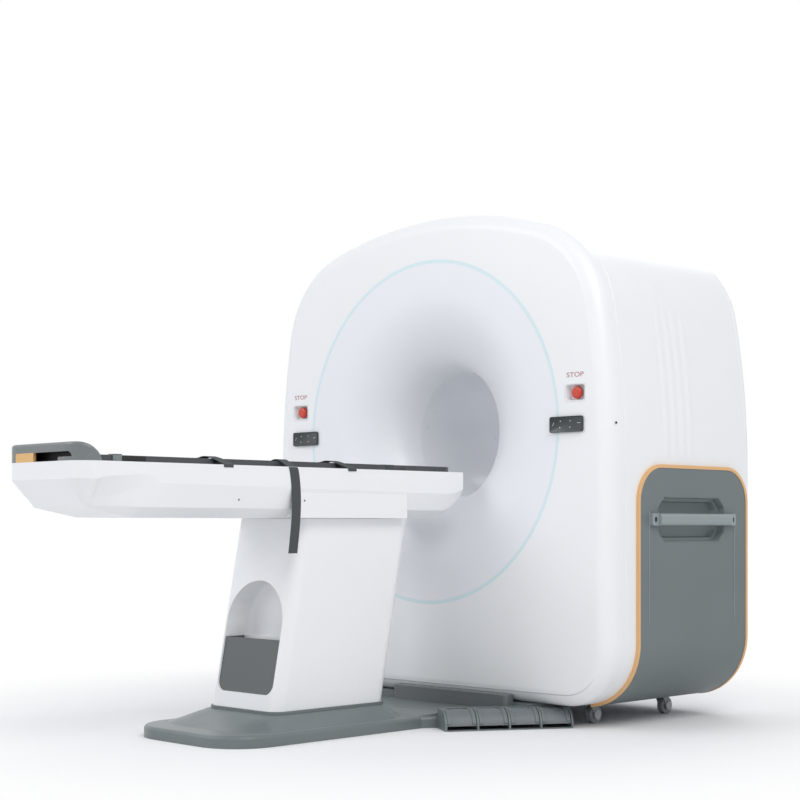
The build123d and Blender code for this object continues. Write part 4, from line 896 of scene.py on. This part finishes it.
slot_rim = block("board_slot", (edge_x - SLOT_SUNK, SLOT[0], SLOT_HEIGHT[0]),
                 (edge_x + SLOT_PROUD, SLOT[1], SLOT_HEIGHT[1]))
sink(slot_rim, facing(1, 0, 0), SLOT_RIM, (-SLOT_DEEP, 0, 0))
soften(slot_rim, SLOT_EDGE, 2)
settle_pair(clamp, "board_clamp_far", "recess_grey", "cradle", "panel_grey")
settle_pair(pad, "board_pad_far", "liner_black", "cradle")
settle_pair(slot_rim, "board_slot_far", "liner_black", "cradle")

# %% [markdown]
# ## Lining of the hand recess
# The recess behind each grab bar is an eight-sided tray with a step. A block gets four cut corners, and
# then its front is inset and pushed back twice. That is quicker than lofting the walls, and the bevel
# afterwards finds all the sharp edges by itself.

# %% Recess trays
RECESS_LOW = Vector((0.7592, 0.2443, 0.6103))
RECESS_HIGH = Vector((0.8204, 0.6287, 0.7597))
RECESS_CUT = 0.034
RECESS_STEPS = ((0.0022, 0.026, 0.985), (0.011, 0.020, 0.95))    # inset, how far back, shrink
RECESS_EDGE = 0.0022

tray = block("recess_tray_right", RECESS_LOW, RECESS_HIGH)
tray_middle = (RECESS_LOW + RECESS_HIGH) / 2
pick(tray, running(1, 0, 0), "edges")
bpy.ops.mesh.bevel(offset=RECESS_CUT, segments=1)
leave()
pick(tray, facing(1, 0, 0))
for inset, back, shrink in RECESS_STEPS:
    bpy.ops.mesh.inset(thickness=inset)
    push((-back, 0, 0))
    bpy.ops.transform.resize(value=(1, shrink, shrink), center_override=tray_middle)
leave()
soften(tray, RECESS_EDGE, 3)
settle_pair(tray, "recess_tray_left", "recess_grey", "machine", "panel_grey")

# %% Bolt eyes of the grab bars, black to paint the shade in the bolt holes
BAR_EYES = (0.2145, 0.6585)
EYE_RADIUS = 0.0058
EYE_THICK = 0.002
EYE_RIM = 0.0012
EYE_DEEP = 0.0004
EYE_STRETCH = 1.5
EYE_EDGE = 0.0004

bar_low, bar_high = box_of("grab_bar_right")
bar_z = (bar_low.z + bar_high.z) / 2
eyes = []
for y in BAR_EYES:
    centre = (from_right("grab_bar_right", y, bar_z)[0].x, y, bar_z)
    eye = rod("eye", centre, (1, 0, 0), EYE_RADIUS, EYE_THICK, 24)
    sink(eye, facing(1, 0, 0), EYE_RIM, (-EYE_DEEP, 0, 0), sloping=True)
    pick(eye, lambda face: True)
    bpy.ops.transform.resize(value=(1, 1, EYE_STRETCH), center_override=centre)
    leave()
    eyes.append(eye)
eyes = join(eyes, "bar_eyes_right")
soften(eyes, EYE_EDGE, 2)
print("bolt eyes at the height", round(bar_z, 3))

# %% Fine ridges on the side panels, in a lighter grey that paints their highlight
RIDGES = (0.198, 0.687)
RIDGE_SPAN = (0.34, 0.712)
RIDGE_RADIUS = 0.0014
RIDGE_EDGE = 0.0005

ridges = [rod("ridge", (RECESS_HIGH.x, y, sum(RIDGE_SPAN) / 2), (0, 0, 1), RIDGE_RADIUS,
              RIDGE_SPAN[1] - RIDGE_SPAN[0], 10) for y in RIDGES]
ridges = join(ridges, "panel_ridges_right")
soften(ridges, RIDGE_EDGE, 2)
# The black of the eyes is painted shade, standing for the dark inside of the bolt holes.
settle_pair(eyes, "bar_eyes_left", "liner_black", "machine")
settle_pair(ridges, "panel_ridges_left", "ridge_grey", "machine", "panel_grey")

# %% [markdown]
# ## Niche in the column
# The inside of the niche is one smooth moulding that flows into its back. A block gets a round top and a
# widely rounded back, loses its front and bottom, and its front rim is moved to the leaning face. What is
# left is a thin sheet, which gets a thickness at the end. Bevels blend more evenly than moved points.

# %% The leaning face of the column
LEAN_LOW, LEAN_HIGH = 0.25, 0.55
LEAN_PROBE_X = 0.1415

lean_low = front_y("column_cover", LEAN_PROBE_X, LEAN_LOW)
lean_high = front_y("column_cover", LEAN_PROBE_X, LEAN_HIGH)
print("leaning face", round(lean_low, 4), round(lean_high, 4))


def lean(z):
    """How far forward the column's face lies at a height."""
    return lean_low + (lean_high - lean_low) * (z - LEAN_LOW) / (LEAN_HIGH - LEAN_LOW)


# %% Niche moulding
NICHE_HALF = 0.1325
NICHE_TOP = 0.4858
NICHE_BACK = -0.6895
NICHE_BLEND = 0.024
TOP_GAP = 0.0005                # the two round corners stop just short of each other
BIN_TOP = 0.3066
NEAR = 0.0005                   # closer than this counts as the same place

niche_front = lean(BIN_TOP)
niche = block("niche_moulding", (-NICHE_HALF, niche_front, BIN_TOP), (NICHE_HALF, NICHE_BACK, NICHE_TOP))
pick(niche, lambda edge: abs(edge.verts[0].co.x - edge.verts[1].co.x) < NEAR
     and all(v.co.z > NICHE_TOP - NEAR for v in edge.verts), "edges")
bpy.ops.mesh.bevel(offset=NICHE_HALF - TOP_GAP, segments=20, clamp_overlap=False)
leave()
pick(niche, facing(0, 0, -1))
bpy.ops.mesh.delete(type="FACE")
leave()
pick(niche, lambda edge: all(v.co.y > NICHE_BACK - NEAR for v in edge.verts)
     and not edge.is_boundary, "edges")
bpy.ops.mesh.bevel(offset=NICHE_BLEND, segments=8, clamp_overlap=False)
leave()
pick(niche, lambda face: face.normal.y < -0.9 and face.calc_center_median().y < niche_front + NEAR)
bpy.ops.mesh.delete(type="FACE")
leave()
print("niche points", len(niche.data.vertices))

# %% The niche's rim meets the leaning face
NICHE_OPEN = 0.1366
NICHE_RISE = 0.0035
RIM_SINK = 0.0012

for vertex in niche.data.vertices:
    if vertex.co.y < niche_front + NEAR:
        vertex.co.x *= NICHE_OPEN / NICHE_HALF
        vertex.co.z += NICHE_RISE * max(0, vertex.co.z - BIN_TOP) / (NICHE_TOP - BIN_TOP)
        vertex.co.y = lean(vertex.co.z) + RIM_SINK
only(niche)
niche.data.flip_normals()
modify(niche, "SOLIDIFY", thickness=SKIN_THICK, offset=-1)
bpy.ops.object.shade_smooth_by_angle(angle=SKIN_SMOOTH_ANGLE)
settle(niche, "white_shell", "machine")

# %% Back wall of the bin, with a ledge
BIN_BACK = -0.7168
BIN_WALL = 0.0015
BIN_WALL_LOW = 0.20
WALL_LAP = 0.0005
LEDGE_THICK = 0.001
BIN_EDGE = 0.0005

wall = block("bin_back", (-NICHE_HALF, BIN_BACK - BIN_WALL, BIN_WALL_LOW),
             (NICHE_HALF, BIN_BACK, BIN_TOP + WALL_LAP))
ledge = block("ledge", (-NICHE_HALF, BIN_BACK - BIN_WALL, BIN_TOP),
              (NICHE_HALF, NICHE_BACK, BIN_TOP + LEDGE_THICK))
bin_back = join([wall, ledge], "bin_back")
soften(bin_back, BIN_EDGE, 2)
settle(bin_back, "white_shell", "machine")

# %% [markdown]
# ## Painted shade line along the foot of the front cover
# The front cover folds back just above the floor. The shade in the fold is painted as a fine grey line
# that turns up round the lower corners and fades there. It is a thin tube laid on the cover, thinner
# towards both ends. Rays give its points, so it follows the cover's soft edge.

# %% Crease, as a painted shade line
CREASE_Z = 0.112
CREASE_TURN = 0.147
CREASE_HALF = 0.625
CREASE_RADIUS = 0.0019
CREASE_SINK = 0.0003
CREASE_STEPS = 20
CREASE_ANGLES = range(0, 66, 8)     # degrees round a lower corner
CREASE_TAPER = 9                    # points over which each end grows thin
CREASE_TIP = 0.15                   # share of the radius that is left at the tip

corner_z = CREASE_Z + CREASE_TURN
half = [(x / CREASE_STEPS * CREASE_HALF, CREASE_Z) for x in range(CREASE_STEPS)]
half += [(CREASE_HALF + CREASE_TURN * math.sin(math.radians(a)),
          corner_z - CREASE_TURN * math.cos(math.radians(a))) for a in CREASE_ANGLES]
line = [(-x, z) for x, z in reversed(half[1:])] + half
points, radii = [], []
for step, (x, z) in enumerate(line):
    points.append((x, front_y("front_cover", x, z) + CREASE_SINK, z))
    end = min(step, len(line) - 1 - step)
    radii.append(CREASE_RADIUS * min(1, CREASE_TIP + end / CREASE_TAPER))
crease = tube("cover_crease_shadow", points, radii)
# A mid grey on the white cover, which paints the shade along the fold.
finish("crease_shadow_grey", (0.52, 0.53, 0.56), 0.5, mottle=0.02)
settle(crease, "crease_shadow_grey", "machine", "white_shell")

# %% [markdown]
# ## Screws, caps and the back
# Small fasteners stand where covers are held: two on each side of the table's hull and a row round the
# back cover. One helper makes them all, square to the surface. A fine wire mesh closes the air slots
# from inside. It is a grid that the wireframe modifier turns into wires, because that needs no drawing.

# %% A screw with a round socket
SOCKET_RIM = 0.45               # shares of the head's radius
SCREW_EDGE = 0.09


def screw(centre, direction, radius, proud):
    """A low screw head with a socket in it."""
    head = rod("head", centre, direction, radius, 2 * proud, 20)
    sink(head, facing(*direction), radius * SOCKET_RIM, Vector(direction).normalized() * -proud)
    soften(head, radius * SCREW_EDGE, 2)
    return head


# %% Screws of the table's hull
HULL_SCREWS = ((-1.000, 0.743), (-0.7475, 0.743))
HULL_SCREW_RADIUS = 0.0034
HULL_SCREW_PROUD = 0.0006

heads = [screw(*from_right("table_housing", y, z), HULL_SCREW_RADIUS, HULL_SCREW_PROUD)
         for y, z in HULL_SCREWS]
heads = join(heads, "hull_screws_right")
settle_pair(heads, "hull_screws_left", "shadow_gap", "table", "bearing_steel")

# %% Screws of the back cover
BACK_SCREWS = ((0.70, 0.32), (0.70, 0.75), (0.70, 1.18), (0.42, 1.52))
BACK_SCREW_RADIUS = 0.0065
BACK_SCREW_PROUD = 0.0012

back_low, back_high = box_of("rear_cover")
heads = [screw((sign * x, back_high.y, z), (0, 1, 0), BACK_SCREW_RADIUS, BACK_SCREW_PROUD)
         for x, z in BACK_SCREWS for sign in (1, -1)]
settle(join(heads, "back_screws"), "screw_steel", "machine", "bearing_steel")

# %% Wire mesh behind the air slots
MESH_CELL = 0.0072
MESH_LOW, MESH_HIGH = (-0.262, 0.243), (0.262, 0.407)
MESH_GAP = 0.0012
WIRE_THICK = 0.0011

mesh_wide, mesh_tall = MESH_HIGH[0] - MESH_LOW[0], MESH_HIGH[1] - MESH_LOW[1]
wire = grid("vent_mesh", round(mesh_wide / MESH_CELL), round(mesh_tall / MESH_CELL),
            location=(0, back_low.y - MESH_GAP, (MESH_LOW[1] + MESH_HIGH[1]) / 2),
            rotation=(math.radians(90), 0, 0))
wire.scale = (mesh_wide, mesh_tall, 1)
bpy.ops.object.transform_apply(location=True, rotation=True, scale=True)
modify(wire, "WIREFRAME", thickness=WIRE_THICK)
settle(wire, "inlet_black", "machine")

# %% Rim and pins of the mains inlet
INLET_MARGIN = 0.001
INLET_PROUD = 0.0022
INLET_RIM = 0.008
INLET_DEEP = 0.0018
INLET_EDGE = 0.0007
PINS = ((-0.008, -0.002), (0, 0.003), (0.008, -0.002))
PIN_HALF = Vector((0.0012, 0, 0.003))
PIN_LENGTH = 0.002
PIN_EDGE = 0.0004

inlet_low, inlet_high = box_of("power_inlet")
inlet_rim = block("inlet_rim", (inlet_low.x - INLET_MARGIN, inlet_high.y - INLET_MARGIN,
                                inlet_low.z - INLET_MARGIN),
                  inlet_high + Vector((INLET_MARGIN, INLET_PROUD, INLET_MARGIN)))
sink(inlet_rim, facing(0, 1, 0), INLET_RIM, (0, -INLET_DEEP, 0))
soften(inlet_rim, INLET_EDGE, 2)
settle(inlet_rim, "inlet_black", "machine")
pins = []
for shift, rise in PINS:
    foot = Vector(((inlet_low.x + inlet_high.x) / 2 + shift, inlet_high.y,
                   (inlet_low.z + inlet_high.z) / 2 + rise))
    pins.append(block("pin", foot - PIN_HALF, foot + PIN_HALF + Vector((0, PIN_LENGTH, 0))))
pins = join(pins, "inlet_pins")
soften(pins, PIN_EDGE, 2)
settle(pins, "screw_steel", "machine", "bearing_steel")

# %% Axle caps of the casters
CAP_RADIUS = 0.0165
CAP_THICK = 0.0022
CAP_RIM = 0.005
CAP_HOLLOW = 0.0008
CAP_EDGE = 0.0009

for count, side in enumerate((1, 1, -1, -1), 1):
    fork_low, fork_high = box_of("caster_fork_%d" % count)
    wheel_low, wheel_high = box_of("caster_wheel_%d" % count)
    outer = fork_high.x if side > 0 else fork_low.x
    centre = (outer, (wheel_low.y + wheel_high.y) / 2, (wheel_low.z + wheel_high.z) / 2)
    cap = rod("axle_cap_%d" % count, centre, (side, 0, 0), CAP_RADIUS, 2 * CAP_THICK, 32)
    sink(cap, facing(side, 0, 0), CAP_RIM, (-side * CAP_HOLLOW, 0, 0), sloping=True)
    soften(cap, CAP_EDGE, 3)
    settle(cap, "hub_grey", "caster_%d" % count, "caster_wheel")

# %% [markdown]
# ## Raised ends of the pedals
# Each pedal has a raised cheek at both ends, which keeps a foot from sliding across. A cheek is a short
# strip laid on the pedal's curve with rays that all start from one point low at the back. So it follows
# the pedal closely, and no curve has to be drawn twice.

# %% Pedal cheeks
CHEEK_WIDE = 0.013
CHEEK_PROUD = 0.0036
CHEEK_ROOT = 0.0006                 # how deep a cheek reaches into its pedal
CHEEK_FROM, CHEEK_TO = 4, 88        # degrees up from the floor
ROOT_BACK = 0.040
RAY_START = 0.3
PEDAL_HALF = 0.0482
CHEEK_EDGE = 0.0007

pedal_way = (box_of("pedal_2")[0] - box_of("pedal_1")[0]).normalized()
pedal_out = Vector((pedal_way.y, -pedal_way.x, 0))
for count in range(1, 5):
    low, high = box_of("pedal_%d" % count)
    root = (low + high) / 2 - pedal_out * ROOT_BACK
    root.z = low.z
    strips = []
    for end in (1, -1):
        strip = grid("cheek", 24, 2)
        for vertex in strip.data.vertices:
            angle = math.radians(CHEEK_FROM + (vertex.co.x + 0.5) * (CHEEK_TO - CHEEK_FROM))
            ray = pedal_out * math.cos(angle) + Vector((0, 0, math.sin(angle)))
            across = pedal_way * (end * (PEDAL_HALF - CHEEK_WIDE / 2) + vertex.co.y * CHEEK_WIDE)
            hit = tree_of("pedal_%d" % count).ray_cast(root + across + ray * RAY_START, -ray)
            vertex.co = hit[0] + ray * CHEEK_PROUD
        face = strip.data.polygons[0]
        if face.normal.dot(Vector(face.center) - root) < 0:
            strip.data.flip_normals()
        modify(strip, "SOLIDIFY", thickness=CHEEK_PROUD + CHEEK_ROOT, offset=-1)
        strips.append(strip)
    cheeks = join(strips, "pedal_cheeks_%d" % count)
    soften(cheeks, CHEEK_EDGE, 2)
    settle(cheeks, "pedal_grey", "pedal_%d" % count)
